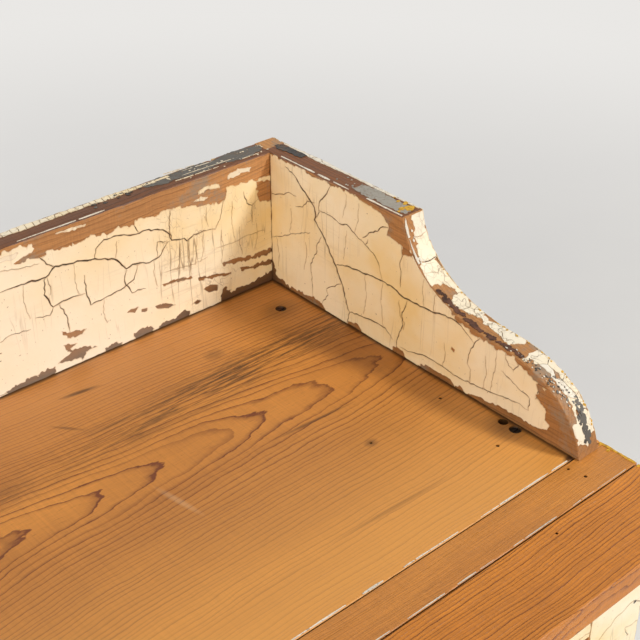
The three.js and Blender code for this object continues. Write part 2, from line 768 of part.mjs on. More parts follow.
// A solid between two upright rectangles, the second one in front of the first
function bevelled(rear, front) {
  const points = [rear, front].flatMap(({ x, y, z }) => [
    [x[0], y, z[0]],
    [x[1], y, z[0]],
    [x[1], y, z[1]],
    [x[0], y, z[1]],
  ]);
  const faces = [
    [0, 3, 2, 1],
    [4, 5, 6, 7],
    [0, 1, 5, 4],
    [1, 2, 6, 5],
    [2, 3, 7, 6],
    [3, 0, 4, 7],
  ];
  const geometry = new THREE.BufferGeometry();
  geometry.setAttribute("position", new THREE.Float32BufferAttribute(points.flat(), 3));
  geometry.setIndex(faces.flatMap(([a, b, c, d]) => [a, b, c, a, c, d]));
  return geometry;
}

function doorKnob(name) {
  const projection = KNOB_PROJECTION - JOINT_GAP;
  const profile = [
    [0, -KNOB_DOWEL_LENGTH],
    [KNOB_DOWEL_RADIUS, -KNOB_DOWEL_LENGTH],
    [KNOB_DOWEL_RADIUS, 0],
    ...knobShares.map(([r, h]) => [r * KNOB_HEAD_RADIUS, h * projection]),
  ];
  return piece(`door_${name}_knob`, facingFront(turned(profile)), darkWood);
}

// The turn button stands upright when the doors are free, and level when it holds them shut
function turnButton() {
  const half = BUTTON_LENGTH / 2;
  const endHalf = BUTTON_END_WIDTH / 2;
  const endCentre = half - endHalf;
  const shape = new THREE.Shape();
  shape.moveTo(BUTTON_WIDTH / 2, 0);
  shape.lineTo(endHalf, endCentre);
  shape.absarc(0, endCentre, endHalf, 0, Math.PI, false);
  shape.lineTo(-BUTTON_WIDTH / 2, 0);
  shape.lineTo(-endHalf, -endCentre);
  shape.absarc(0, -endCentre, endHalf, Math.PI, 2 * Math.PI, false);
  shape.closePath();
  const rear = faceFront - JOINT_GAP;
  const y = [rear - BUTTON_THICKNESS, rear];
  const hole = facingFront(
    rod(BUTTON_SCREW_RADIUS + JOINT_GAP, -CUT_OVERRUN, BUTTON_THICKNESS + CUT_OVERRUN),
  ).translate(0, rear, 0);
  const made = piece("turn_button", cut(sawnFacing(shape, y), hole), creamPaint);
  made.position.z = buttonHeight;
  return made;
}

function turnButtonScrew() {
  const headRear = faceFront - BUTTON_THICKNESS - JOINT_GAP * 2;
  const tip = BUTTON_THICKNESS - BUTTON_SCREW_LENGTH;
  const body = facingFront(
    turned([
      [0, tip - BUTTON_SCREW_RADIUS],
      [BUTTON_SCREW_RADIUS, tip],
      [BUTTON_SCREW_RADIUS, 0],
      ...roundHeadShares.map(([r, h]) => [r * BUTTON_SCREW_HEAD_RADIUS, h * BUTTON_SCREW_HEAD_HEIGHT]),
    ]),
  );
  const slot = slab(
    grow([-BUTTON_SCREW_HEAD_RADIUS, BUTTON_SCREW_HEAD_RADIUS], CUT_OVERRUN),
    [-BUTTON_SCREW_HEAD_HEIGHT - CUT_OVERRUN, SCREW_SLOT_DEPTH - BUTTON_SCREW_HEAD_HEIGHT],
    [-SCREW_SLOT_WIDTH / 2, SCREW_SLOT_WIDTH / 2],
  );
  const screw = piece("turn_button_screw", cut(body, slot), blackIron);
  screw.position.set(0, headRear, buttonHeight);
  return screw;
}

// Assembly
const cabinet = new THREE.Group();
cabinet.name = "dry_sink_cabinet";
cabinet.add(
  ...gallery(),
  ...topBoards(),
  ...topScrews(),
  caseSide(-1),
  caseSide(1),
  bottomBoard(),
  ...shelfParts(),
  ...backPlanks(),
  ...innerSupports(),
  ...faceFrame(),
  ...hinges(-1),
  ...hinges(1),
  doorParts(-1),
  doorParts(1),
  turnButton(),
  turnButtonScrew(),
);
cabinet.position.y = topDepth / 2;

export default cabinet;
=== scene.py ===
"""Dresses the dry sink cabinet: worn pine boards, flaking cream paint and black iron fittings."""

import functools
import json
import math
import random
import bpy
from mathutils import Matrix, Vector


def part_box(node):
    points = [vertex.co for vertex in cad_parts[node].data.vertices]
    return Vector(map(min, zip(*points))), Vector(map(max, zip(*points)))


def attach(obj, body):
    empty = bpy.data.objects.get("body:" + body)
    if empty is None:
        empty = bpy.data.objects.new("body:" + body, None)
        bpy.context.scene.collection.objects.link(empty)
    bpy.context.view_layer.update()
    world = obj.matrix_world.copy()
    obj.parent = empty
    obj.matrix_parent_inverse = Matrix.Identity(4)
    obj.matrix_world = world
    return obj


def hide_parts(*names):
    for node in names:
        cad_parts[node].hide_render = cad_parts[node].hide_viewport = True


bl_info = {
    "name": "Dry Sink Cabinet",
    "version": (1, 0, 0),
    "blender": (4, 5, 0),
    "location": "3D View > Sidebar > Dry Sink",
    "description": "Dresses a dry sink cabinet in worn pine, flaking paint and iron",
    "category": "Object",
}

import bmesh
import bpy
from mathutils import Matrix, Vector, geometry, kdtree, noise

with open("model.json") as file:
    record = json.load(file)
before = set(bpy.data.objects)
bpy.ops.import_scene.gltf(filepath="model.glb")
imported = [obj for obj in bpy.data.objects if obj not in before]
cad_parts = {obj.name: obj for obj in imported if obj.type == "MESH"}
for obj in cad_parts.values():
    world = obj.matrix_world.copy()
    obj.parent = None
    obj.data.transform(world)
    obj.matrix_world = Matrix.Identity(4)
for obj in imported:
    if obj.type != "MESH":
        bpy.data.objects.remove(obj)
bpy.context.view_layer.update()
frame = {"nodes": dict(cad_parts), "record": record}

MM = 0.001
NODES = frame["nodes"]
BODY_OF = {n: body for body, group in frame["record"]["behaviour"]["bodies"].items() for n in group}

# The gallery's inner rear corner on the top: the listed measures of the gallery start there
TOP_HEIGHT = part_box("top_board_rear")[1].z / MM
BACK_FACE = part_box("gallery_back")[0].y / MM
SIDE_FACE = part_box("gallery_side_right")[0].x / MM
GALLERY_BOARD = 25
BUTTON_HEIGHT = sum(corner.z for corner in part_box("turn_button")) / 2 / MM


def linear(hex_colour):
    """An sRGB colour such as "#f2e0b8" as linear red, green, blue and an alpha of 1."""
    shares = [int(hex_colour[i : i + 2], 16) / 255 for i in (1, 3, 5)]
    return tuple(s / 12.92 if s <= 0.04045 else ((s + 0.055) / 1.055) ** 2.4 for s in shares) + (1.0,)


# Sizes and colours that a user would change


def colour_property(label, text, default):
    return bpy.props.FloatVectorProperty(
        name=label, description=text, subtype="COLOR", size=4, min=0, max=1, default=linear(default)
    )


def length_property(label, text, millimetres):
    return bpy.props.FloatProperty(
        name=label, description=text, subtype="DISTANCE", unit="LENGTH", min=0, default=millimetres * MM
    )


class PineSettings(bpy.types.PropertyGroup):
    ring_width: length_property("Ring width", "From one growth ring to the next", 3.8)
    arris_wear: length_property("Arris wear", "How far the boards' edges are rounded off", 1.3)
    oiled_early: colour_property("Oiled pine", "Spring wood of the oiled top", "#d18c3d")
    oiled_late: colour_property("Oiled ring", "Autumn wood of the oiled top", "#6e3410")
    bare_early: colour_property("Bare pine", "Spring wood of the unpainted boards", "#c29a68")
    bare_late: colour_property("Bare ring", "Autumn wood of the unpainted boards", "#8d6238")
    worn_early: colour_property("Worn pine", "Spring wood where paint is lost", "#c48e58")
    worn_late: colour_property("Worn ring", "Autumn wood where paint is lost", "#6e4626")


class PaintSettings(bpy.types.PropertyGroup):
    film: length_property("Film", "Thickness of the dried paint", 0.32)
    curl: length_property("Curl", "How far a flake's edge lifts", 0.3)
    crack_width: length_property("Crack", "Width of a bold crack", 1.1)
    cream: colour_property("Cream", "Aged oil paint", "#fdf1d6")
    yellowed: colour_property("Yellowed", "Paint that has yellowed more", "#f4da9f")
    chalk: colour_property("Chalk", "Undercoat and chalked paint", "#e6dfd0")
    soot: colour_property("Soot", "Blackened remains of paint", "#292522")
    # The crack colour stands for dirt and painted shade in the cracks
    grime: colour_property("Grime", "Dirt in the cracks", "#4a3c2c")


class IronSettings(bpy.types.PropertyGroup):
    nail_head: length_property("Nail head", "Width of a cut nail's head", 6.0)
    screw_head: length_property("Leaf screw head", "Width of a hinge screw's head", 3.8)
    iron: colour_property("Iron", "Blackened iron", "#2b2826")
    rust: colour_property("Rust", "Rust on the iron", "#6b3d22")
    stained: colour_property("Stained wood", "Knobs", "#4a2c1a")


class StudioSettings(bpy.types.PropertyGroup):
    floor: colour_property("Floor", "Pale studio floor", "#e6e6e6")
    lens: bpy.props.FloatProperty(name="Lens", description="Focal length", default=70.2, min=10)
    key_power: bpy.props.FloatProperty(name="Key", description="Main lamp", unit="POWER", default=67)
    fill_power: bpy.props.FloatProperty(name="Fill", description="Soft lamp", unit="POWER", default=58)
    sky: bpy.props.FloatProperty(name="Sky", description="Strength of the pale room", default=0.33)


# Node trees


def add_node(tree, kind, *values, stops=(), **settings):
    """Adds a node. Its kind may leave out "ShaderNode", and name an operation or data type at its end.

    Its values go to its inputs in order, and a dict's values to the inputs that it names. A value
    may be a hex colour, another node, whose first output is meant, or one output.
    """
    kind, _, mode = kind.partition(" ")
    node = tree.nodes.new(kind if "Node" in kind else "ShaderNode" + kind)
    if mode:
        settings["data_type" if kind == "Mix" else "operation"] = mode
    for key, value in settings.items():
        setattr(node, key, value)
    inputs = [socket for socket in node.inputs if socket.enabled]
    given = []
    for value in values:
        if isinstance(value, dict):
            given += [(next(s for s in inputs if s.name == name), part) for name, part in value.items()]
        else:
            given.append((inputs[len(given)], value))
    for socket, value in given:
        if isinstance(value, bpy.types.Node):
            value = next(output for output in value.outputs if output.enabled)
        if isinstance(value, bpy.types.NodeSocket):
            tree.links.new(value, socket)
        else:
            socket.default_value = linear(value) if str(value).startswith("#") else value
    for i, (position, grey) in enumerate(stops):
        elements = node.color_ramp.elements
        stop = elements[i] if i < 2 else elements.new(position)
        stop.position = position
        stop.color = (grey, grey, grey, 1)
    return node


def new_finish(name):
    """Makes an empty material and gives a function that adds nodes to it."""
    material = bpy.data.materials.new(name)
    material.use_nodes = True
    material.node_tree.nodes.clear()
    return functools.partial(add_node, material.node_tree)


# A noise takes its place, scale, detail and roughness in that order, and MapRange takes a value, the
# range that it comes in and the range that it goes to
def uneven(add, place, stretch, detail=2.0, roughness=0.5):
    """Noise that repeats a given number of times per metre along each axis."""
    stretched = add("VectorMath MULTIPLY", place, stretch)
    return add("TexNoise", stretched, 1.0, detail, roughness)


def pine_finish(name, early, late, ring, rings=0.8, fibre=0.1, roughness=0.5, relief=0.2, marks=None):
    """Sawn softwood cut from a real tree: rings lie round a heart, so faces, edges and ends agree.

    The attribute "grain" holds each point's place in the tree, in metres: along it, and two ways across.
    """
    add = new_finish(name)
    grain = add("Attribute", attribute_name="grain").outputs["Vector"]

    # The heart of the tree wanders a few millimetres along the board, and its rings ripple
    bent = grain
    for drift, reach in ((((2.6, 1.2, 1.2),), 0.03), (((14, 30, 30), 6.0, 0.6), 0.007)):
        drift = uneven(add, grain, *drift).outputs["Color"]
        drift = add("VectorMath SUBTRACT", drift, (0.5,) * 3)
        drift = add("VectorMath MULTIPLY", drift, (0, reach, reach))
        bent = add("VectorMath ADD", bent, drift)
    heart = add("VectorMath LENGTH", add("VectorMath MULTIPLY", bent, (0, 1, 1)))

    # Wet and dry years make the rings wide and narrow
    years = add("TexNoise", heart, 40.0, 2.0, noise_dimensions="1D")
    years = add("Math MULTIPLY_ADD", years, ring * 2.5, heart)
    count = add("Math DIVIDE", years, ring)
    stops = ((0.0, 0.03), (0.58, 0.07), (0.82, 0.4), (0.93, 1.0), (0.98, 0.03))
    late_wood = add("ValToRGB", add("Math FRACT", count), stops=stops)
    boldness = add("TexNoise", count, 0.83, 1.0, noise_dimensions="1D")
    boldness = add("MapRange", boldness, 0.36, 0.6, 0.45, 1.0)
    patchy = add("MapRange", uneven(add, grain, (9, 60, 60), 4.0), 0.3, 0.6, 0.6, 1.0)
    for share in (boldness, patchy):
        late_wood = add("Math MULTIPLY", late_wood, share)

    # Fibres are about 1 mm wide here, coarser than real ones, so that they show from a step away
    fibres = uneven(add, bent, (22, 900, 900), 3.0, 0.6)
    pores = add("MapRange", uneven(add, bent, (70, 1300, 1300), 1.0), 0.66, 0.76, 1.0, 0.72)
    sawn = uneven(add, grain, (620, 16, 16))

    colour = add("Mix RGBA", add("Math MULTIPLY", late_wood, rings), early, late)
    broad = add("MapRange", uneven(add, grain, (3.2, 11, 11), 3.0), 0.35, 0.65, 0.0, 0.4)
    colour = add("Mix RGBA", broad, colour, late)
    shade = add("MapRange", fibres, 0.25, 0.75, 1 - fibre, 1 + fibre)
    for share in (add("MapRange", sawn, 0.3, 0.7, 0.93, 1.06), pores):
        shade = add("Math MULTIPLY", shade, share)
    colour = add("Mix RGBA", 1.0, colour, shade, blend_type="MULTIPLY")
    if marks:
        colour = marks(add, colour, fibres)

    height = add("Math MULTIPLY_ADD", sawn, 0.4, add("Math MULTIPLY_ADD", fibres, 0.5, late_wood))
    bump = add("Bump", {"Strength": 1.0, "Distance": relief * MM, "Height": height})
    sheen = add("MapRange", fibres, 0.3, 0.7, roughness - 0.06, roughness + 0.08)
    look = {"Base Color": colour, "Roughness": sheen, "Normal": bump}
    add("OutputMaterial", add("BsdfPrincipled", look))


# Marks on the top, in mm: left of the right gallery side, forward of the gallery back, half sizes,
# turn in degrees, strength
DARK_STAINS = (
    (252, 39, 15, 2.2, 8, 0.75),
    (288, 77, 12, 1.6, 50, 0.45),
    (150, 331, 46, 1.8, 2, 0.3),
    (125, 206, 34, 1.5, 3, 0.55),
    (128, 70, 9, 7, 0, 0.35),
    (32, 49, 17, 14, 0, 0.4),
    (6, 320, 16, 16, 0, 0.5),
    (5.5, 313, 6.5, 6.5, 0, 0.6),
    (3, 382, 5, 3, 0, 0.9),
    (110, 260, 5, 4, 0, 0.5),
    (470, 150, 60, 30, 20, 0.2),
    (700, 300, 90, 45, -15, 0.22),
    (905, 120, 34, 34, 0, 0.3),
    (760, 90, 14, 2, 10, 0.6),
    (620, 240, 30, 1.5, 1, 0.5),
)


def soft_spots(add, spots, softness=0.5):
    """The strongest of several soft ellipses on the top, as one value."""
    place = add("TexCoord").outputs["Object"]
    strongest = 0.0
    for left, forward, half_length, half_width, turn, strength in spots:
        centre = (SIDE_FACE - left) * MM, (BACK_FACE - forward) * MM, 0
        moved = add("VectorMath SUBTRACT", place, centre)
        turned = {"Vector": moved, "Angle": math.radians(turn)}
        turned = add("VectorRotate", turned, rotation_type="Z_AXIS")
        shares = 1 / (half_length * MM), 1 / (half_width * MM), 0
        scaled = add("VectorMath MULTIPLY", turned, shares)
        far = add("VectorMath LENGTH", scaled)
        spot = add("MapRange", far, 1 - softness, 1 + softness, strength, 0.0)
        strongest = add("Math MAXIMUM", strongest, spot)
    return strongest


def darkened_below(add, colour, fibres):
    """Darkens the insides of the nail holes and of the joints between the top's boards, below their rims.
    """
    place = add("SeparateXYZ", add("TexCoord").outputs["Object"]).outputs
    front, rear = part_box("top_board_front")[0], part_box("top_board_rear")[1]
    reach = rear.x - 4 * MM, (rear.y - front.y) / 2 - 4 * MM, 3.85 * MM
    centre = 0.0, (rear.y + front.y) / 2, (TOP_HEIGHT - 4.6) * MM
    share = 0.8
    for axis, middle, half in zip("XYZ", centre, reach):
        share = add("Math MULTIPLY", share, add("Math COMPARE", place[axis], middle, half))
    # The walls of holes and joints are drawn nearly black
    return add("Mix RGBA", share, colour, "#1f1108")


def top_marks(add, colour, fibres):
    """Painted shade along the top's rear edge, lighter wood further forward, and what years of use left:
    a coarse dark band, stains and scuffs.
    """
    point = add("TexCoord").outputs["Object"]
    place = add("SeparateXYZ", point)
    forward = add("Math SUBTRACT", BACK_FACE * MM, place.outputs["Y"])
    # Painted shade: the top is drawn darker and duller near the gallery's back, and lighter and yellower
    # further forward
    colour = add("Mix RGBA", add("MapRange", forward, 0.03, 0.11, 0.56, 0.0), colour, "#bc8247")
    colour = add("Mix RGBA", add("MapRange", forward, 0.2, 0.36, 0.0, 0.64), colour, "#dfa050")

    band = soft_spots(add, ((110, 106, 190, 20, -2, 1.0), (620, 118, 260, 16, 1, 0.8)), 0.6)
    streaks = uneven(add, point, (18, 340, 1), 5.0, 0.65)
    band = add("Math MULTIPLY", band, add("MapRange", streaks, 0.45, 0.55, 0.12, 1.0))
    band = add("Math MULTIPLY", band, add("MapRange", fibres, 0.35, 0.65, 0.95, 0.5))
    colour = add("Mix RGBA", band, colour, "#2c1206")
    colour = add("Mix RGBA", soft_spots(add, DARK_STAINS), colour, "#32180a")
    scuffs = (273, 214, 20, 2.5, 80, 0.16), (420, 290, 30, 3, 30, 0.15)
    colour = add("Mix RGBA", soft_spots(add, scuffs), colour, "#ecd3ae")

    # Painted shade, with dirt that a cloth never reached, in the angle between the top and the gallery
    sideways = add("Math ABSOLUTE", place.outputs["X"])
    to_side = add("Math SUBTRACT", (SIDE_FACE + GALLERY_BOARD / 2) * MM, sideways)
    to_side = add("Math ABSOLUTE", to_side)
    to_side = add("Math SUBTRACT", to_side, GALLERY_BOARD / 2 * MM)
    behind_tip = add("MapRange", forward, 0.389, 0.4, 0.0, 1.0)
    to_side = add("Math ADD", to_side, behind_tip)
    nearest = add("Math MINIMUM", forward, to_side)
    angle = add("MapRange", nearest, 0.001, 0.005, 0.8, 0.0)
    on_top = add("Math GREATER_THAN", place.outputs["Z"], (TOP_HEIGHT - 0.5) * MM)
    angle = add("Math MULTIPLY", angle, on_top)
    colour = add("Mix RGBA", angle, colour, "#2e1c10")
    return darkened_below(add, colour, fibres)


# Beyond these places, in metres, is the outside of the case and the face of its front
CASE_SIDE = 0.536
CASE_FRONT = -0.2205


def greyed_marks(add, colour, fibres):
    """Where paint came off the outside, some of its grey undercoat stayed in the grain."""
    place = add("TexCoord").outputs["Object"]
    at = add("SeparateXYZ", place).outputs
    sideways = add("Math ABSOLUTE", at["X"])
    outside = add("Math GREATER_THAN", sideways, CASE_SIDE)
    above = add("Math GREATER_THAN", at["Z"], TOP_HEIGHT * MM)
    outside = add("Math MAXIMUM", outside, above)
    outside = add("Math MAXIMUM", outside, add("Math LESS_THAN", at["Y"], CASE_FRONT))
    patches = add("TexNoise", place, 26.0, 5.0, 0.7)
    patches = add("Math MULTIPLY_ADD", fibres, 0.25, patches)
    share = add("MapRange", patches, 0.64, 0.76, 0.0, 0.75)
    share = add("Math MULTIPLY", share, outside)
    colour = add("Mix RGBA", share, colour, "#8f8272")
    # Low on the gallery the wood is grey from wet, and a darker brown towards the right corner
    corner = add("MapRange", at["X"], 0.4, 0.45, 0.0, 1.0)
    dirt = add("Mix RGBA", corner, "#86776a", "#5d4129")
    low = add("MapRange", at["Z"], TOP_HEIGHT * MM, (TOP_HEIGHT + 62) * MM, 0.95, 0.0)
    low = add("Math MULTIPLY", low, above)
    low = add("Math MULTIPLY", low, add("MapRange", at["Y"], 0.2, 0.232, 0.0, 1.0))
    return add("Mix RGBA", low, colour, dirt)


def cream_finish(paint):
    """Old oil paint, brushed on and aged: satin, yellowed in places, crazed with hairlines and
    browned along every crack. The attributes give the distance to a flake's edge in mm, how
    crazed the paint is, and a tint: 0 is cream, 0.5 chalk and 1 soot."""
    add = new_finish("aged_cream_oil_paint")
    place = add("TexCoord").outputs["Object"]
    edge = add("Attribute", attribute_name="edge_mm").outputs["Fac"]
    crazed = add("Attribute", attribute_name="crazed").outputs["Fac"]
    tint = add("Attribute", attribute_name="tint").outputs["Fac"]

    cloudy = add("TexNoise", place, 9.0, 4.0, 0.6)
    colour = add("Mix RGBA", add("MapRange", cloudy, 0.4, 0.68, 0.0, 1.0), paint.cream, paint.yellowed)
    bleached = add("TexNoise", place, 24.0, 5.0)
    colour = add("Mix RGBA", add("MapRange", bleached, 0.5, 0.75, 0.0, 0.55), colour, "#f7ecce")
    # Painted light: the inner face of the gallery's back is drawn whiter, as if brightly lit, most of all
    # low down
    at = add("SeparateXYZ", place).outputs
    sideways = add("Math ABSOLUTE", at["X"])
    share = add("MapRange", sideways, 0.36, 0.5, 1.0, 0.0)
    low = add("MapRange", at["Z"], TOP_HEIGHT * MM, (TOP_HEIGHT + 105) * MM, 0.85, 0.35)
    above = add("Math GREATER_THAN", at["Z"], TOP_HEIGHT * MM)
    behind = add("Math COMPARE", at["Y"], BACK_FACE * MM, 2 * MM)
    for other in (low, above, behind):
        share = add("Math MULTIPLY", share, other)
    colour = add("Mix RGBA", share, colour, "#fff7e6")
    whiter = add("MapRange", tint, 0.0, 0.5, 0.0, 1.0)
    colour = add("Mix RGBA", whiter, colour, paint.chalk)
    colour = add("Mix RGBA", add("MapRange", tint, 0.55, 1.0, 0.0, 1.0), colour, paint.soot)

    # Fine cracks across the grain, and finer ones along it
    fine = 0.0
    for scales, weight in (((105, 105, 7), 1.0), ((7, 7, 95), 0.3)):
        drawn = add("Math SUBTRACT", uneven(add, place, scales, 2.0, 0.4), 0.5)
        drawn = add("MapRange", add("Math ABSOLUTE", drawn), 0.005, 0.02, weight, 0.0)
        fine = add("Math MAXIMUM", fine, drawn)
    # Brown dirt creeps in from the cracks, unevenly
    creep = add("TexNoise", place, 160.0, 3.0)
    reach = add("MapRange", creep, 0.3, 0.7, 0.2, 1.3)
    browned = add("MapRange", add("Math DIVIDE", edge, reach), 0.0, 1.0, 0.45, 0.0)
    cleaner = add("Math SUBTRACT", 1.0, whiter, use_clamp=True)
    browned = add("Math MULTIPLY", browned, cleaner)
    colour = add("Mix RGBA", browned, colour, "#a9814d")

    # Hairlines round cells of 6 mm, drawn 0.3 mm wide so that they show
    bend = add("TexNoise", place, 60.0, 2.0)
    bend = add("VectorMath SUBTRACT", bend.outputs["Color"], (0.5,) * 3)
    bend = add("VectorMath MULTIPLY", bend, (0.006,) * 3)
    warped = add("VectorMath ADD", place, bend)
    warped = add("VectorMath MULTIPLY", warped, (1.25, 1.25, 0.6))
    cells = add("TexVoronoi", {"Vector": warped, "Scale": 150.0}, feature="DISTANCE_TO_EDGE")
    cells = add("MapRange", cells, 0.009, 0.03, 1.0, 0.0)
    hairs = 0.0
    for line, per_metre, low, floor in ((cells, 40.0, 0.42, 0.45), (fine, 17.0, 0.46, 0.0)):
        where = add("TexNoise", place, per_metre, 2.0)
        line = add("Math MULTIPLY", line, add("MapRange", where, low, low + 0.16, 0.0, 1.0))
        line = add("Math MULTIPLY", line, add("MapRange", crazed, floor, floor + 0.5, 0.0, 1.0))
        hairs = add("Math MAXIMUM", hairs, line)
    colour = add("Mix RGBA", add("Math MULTIPLY", hairs, 0.6), colour, "#7a5a35")
    specks = add("TexNoise", place, 420.0, 1.0)
    colour = add("Mix RGBA", add("MapRange", specks, 0.74, 0.8, 0.0, 0.55), colour, "#6e4c2c")

    brushed = uneven(add, place, (30, 30, 500))
    lumpy = add("TexNoise", place, 240.0, 3.0)
    height = add("Math MULTIPLY_ADD", brushed, 0.5, lumpy)
    height = add("Math MULTIPLY_ADD", hairs, -1.5, height)
    bump = add("Bump", {"Strength": 1.0, "Distance": 0.22 * MM, "Height": height})
    sheen = add("MapRange", lumpy, 0.3, 0.7, 0.42, 0.6)
    look = {"Base Color": colour, "Roughness": sheen, "Normal": bump}
    add("OutputMaterial", add("BsdfPrincipled", look))


def plain_finish(name, colour, second, scale, roughness, relief, metallic=0.0, spread=(0.45, 0.65)):
    """Two tones of one substance in soft patches, with a grainy surface."""
    add = new_finish(name)
    place = add("TexCoord").outputs["Object"]
    patches = add("TexNoise", place, scale, 6.0, 0.65)
    share = add("MapRange", patches, spread[0], spread[1], 0.0, 1.0)
    mixed = add("Mix RGBA", share, colour, second)
    grainy = add("TexNoise", place, scale * 7, 4.0)
    bump = add("Bump", {"Strength": 1.0, "Distance": relief * MM, "Height": grainy})
    rough = add("MapRange", share, 0.0, 1.0, roughness, min(1, roughness + 0.25))
    look = {"Base Color": mixed, "Roughness": rough, "Metallic": metallic, "Normal": bump}
    add("OutputMaterial", add("BsdfPrincipled", look))


def make_finishes(context):
    pine, paint, iron = context.scene.sink_pine, context.scene.sink_paint, context.scene.sink_iron
    ring = pine.ring_width
    # Planed pine, oiled for a century: golden, satin, with dark rings
    pine_finish("oiled_pine_boards", pine.oiled_early, pine.oiled_late, ring,
                1.5, 0.1, 0.4, 0.1, top_marks)
    # The front board was never planed well: its rings stand up and hold dirt
    pine_finish("oiled_pine_ridged", "#d2842a", "#70360b", ring * 0.76,
                1.4, 0.2, 0.44, 0.4, darkened_below)
    # The narrow strip was sawn from slow, even wood: close faint rings
    pine_finish("oiled_pine_close_ringed", "#cf8a3c", "#84491c", ring * 0.42,
                0.7, 0.2, 0.42, 0.2, darkened_below)
    # Inside and behind, pine was left bare: paler, greyer and dull
    pine_finish("bare_pine_boards", pine.bare_early, pine.bare_late, ring,
                0.6, 0.1, 0.72, 0.14)
    # Under the lost paint the wood is brown and dry
    pine_finish("weathered_pine_boards", pine.worn_early, pine.worn_late, ring,
                0.7, 0.22, 0.74, 0.25, greyed_marks)
    # The gallery's sides are browner and more handled where they are bare
    pine_finish("browned_pine_boards", "#b17d4a", "#613e20", ring,
                0.6, 0.25, 0.66, 0.25, greyed_marks)
    # Top edges that hands and wet cloths blackened
    pine_finish("blackened_pine_edges", "#77461f", "#331c0f", ring, 0.8, 0.35, 0.5, 0.4)
    # Hardwood knobs, stained and rubbed: deep brown with a soft gloss
    pine_finish("stained_maple_turning", iron.stained, "#24140b", 0.0022, 0.5, 0.12, 0.34, 0.06)
    cream_finish(paint)
    # Packed dirt and painted shade at the bottom of each crack: nearly black, without gloss
    plain_finish("crack_grime", paint.grime, "#5d4126", 90, 0.9, 0.1)
    # Dark brown undercoat that stayed in the saw marks, dry and dirty
    plain_finish("brown_undercoat", "#5e3b2a", "#33221b", 90, 0.8, 0.3)
    # A few flakes of an older mustard colour
    plain_finish("mustard_paint", "#dcab33", "#9c7420", 200, 0.6, 0.15)
    # Forged and blackened iron, rust coming through
    plain_finish("black_iron_forged", iron.iron, iron.rust, 55, 0.45, 0.18, 0.7, (0.5, 0.7))


FINISH = bpy.data.materials


# Mesh helpers


def seeded(name):
    return random.Random(name)


def new_object(name, data):
    item = bpy.data.objects.new(name, data)
    bpy.context.scene.collection.objects.link(item)
    return item


def new_mesh(name, verts, faces):
    mesh = bpy.data.meshes.new(name)
    mesh.from_pydata(verts, [], faces)
    return mesh


def new_piece(name, mesh, body, slot, *replaced):
    piece = new_object(name, mesh)
    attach(piece, body)
    if replaced:
        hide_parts(*replaced)
    return piece


def smoothed(mesh, degrees):
    """Shades a mesh smooth except where it bends by more than an angle."""
    mesh.polygons.foreach_set("use_smooth", [True] * len(mesh.polygons))
    mesh.set_sharp_from_angle(angle=math.radians(degrees))
    return mesh


def one_finish(mesh, finish):
    mesh.materials.clear()
    mesh.materials.append(FINISH[finish])
    mesh.polygons.foreach_set("material_index", [0] * len(mesh.polygons))


def merged_node(node, least_edge=0.0):
    """A node's mesh with its loose triangles joined and its flat faces whole. Its sharp edges of at
    least a length, in mm, are marked to be worn round."""
    shape = bmesh.new()
    shape.from_mesh(NODES[node].data)
    bmesh.ops.remove_doubles(shape, verts=shape.verts, dist=1e-5)
    bmesh.ops.dissolve_limit(shape, angle_limit=math.radians(0.4), verts=shape.verts, edges=shape.edges)
    sharp = shape.edges.layers.float.new("bevel_weight_edge")
    for edge in shape.edges:
        worn = edge.is_manifold and edge.calc_face_angle() > math.radians(35)
        edge[sharp] = 1.0 if worn and edge.calc_length() >= least_edge * MM else 0.0
    mesh = bpy.data.meshes.new(node)
    shape.to_mesh(mesh)
    shape.free()
    return mesh


def finished_mesh(mesh, modify):
    """The mesh after the modifiers that modify adds to an object of it."""
    holder = new_object("holder", mesh)
    modify(holder)
    evaluated = holder.evaluated_get(bpy.context.evaluated_depsgraph_get())
    result = bpy.data.meshes.new_from_object(evaluated)
    bpy.data.objects.remove(holder)
    return result


def worn_edges(mesh, wear, segments=3, cutter=None):
    def modify(holder):
        bevel = holder.modifiers.new("wear", "BEVEL")
        bevel.width = wear
        bevel.segments = segments
        bevel.limit_method = "WEIGHT"
        if cutter:
            cut = holder.modifiers.new("cut", "BOOLEAN")
            cut.operation = "DIFFERENCE"
            cut.solver = "EXACT"
            cut.object = cutter

    return smoothed(finished_mesh(mesh, modify), 16)


def set_grain(mesh, name, axes, heart=None, lean=None, shift=None):
    """Gives each point its place in the tree the board was sawn from.

    axes names the directions along the board, across its width and through its thickness. heart
    is how far the tree's heart lies from the origin across and below the board, in mm.
    """
    rng = seeded(name + "_grain")
    low = Vector([min(v.co[i] for v in mesh.vertices) for i in range(3)])
    high = Vector([max(v.co[i] for v in mesh.vertices) for i in range(3)])
    along, over, through = ("xyz".index(a) for a in axes)
    if heart is None:
        middle = (low[over] + high[over]) / 2 / MM
        width = (high[over] - low[over]) / MM
        heart = middle + rng.uniform(-0.45, 0.45) * width, rng.uniform(25, 110) - low[through] / MM
    lean = rng.uniform(-0.05, 0.05) if lean is None else lean
    shift = rng.uniform(-9, 9) if shift is None else shift
    layer = mesh.attributes.new("grain", "FLOAT_VECTOR", "POINT")
    for i, vertex in enumerate(mesh.vertices):
        length = vertex.co[along]
        layer.data[i].vector = (
            length + shift,
            vertex.co[over] - heart[0] * MM,
            vertex.co[through] + heart[1] * MM - lean * length,
        )


def board(node, axes, finish, slot, wear=None, cutter=None, **grain):
    """A node's own shape with worn arrises and grain, which then stands for the node."""
    wear = bpy.context.scene.sink_pine.arris_wear if wear is None else wear * MM
    mesh = worn_edges(merged_node(node, 14.0 if cutter else 0.0), wear, cutter=cutter)
    set_grain(mesh, node, axes, **grain)
    one_finish(mesh, finish)
    return new_piece("board_" + node, mesh, BODY_OF[node], slot, node)


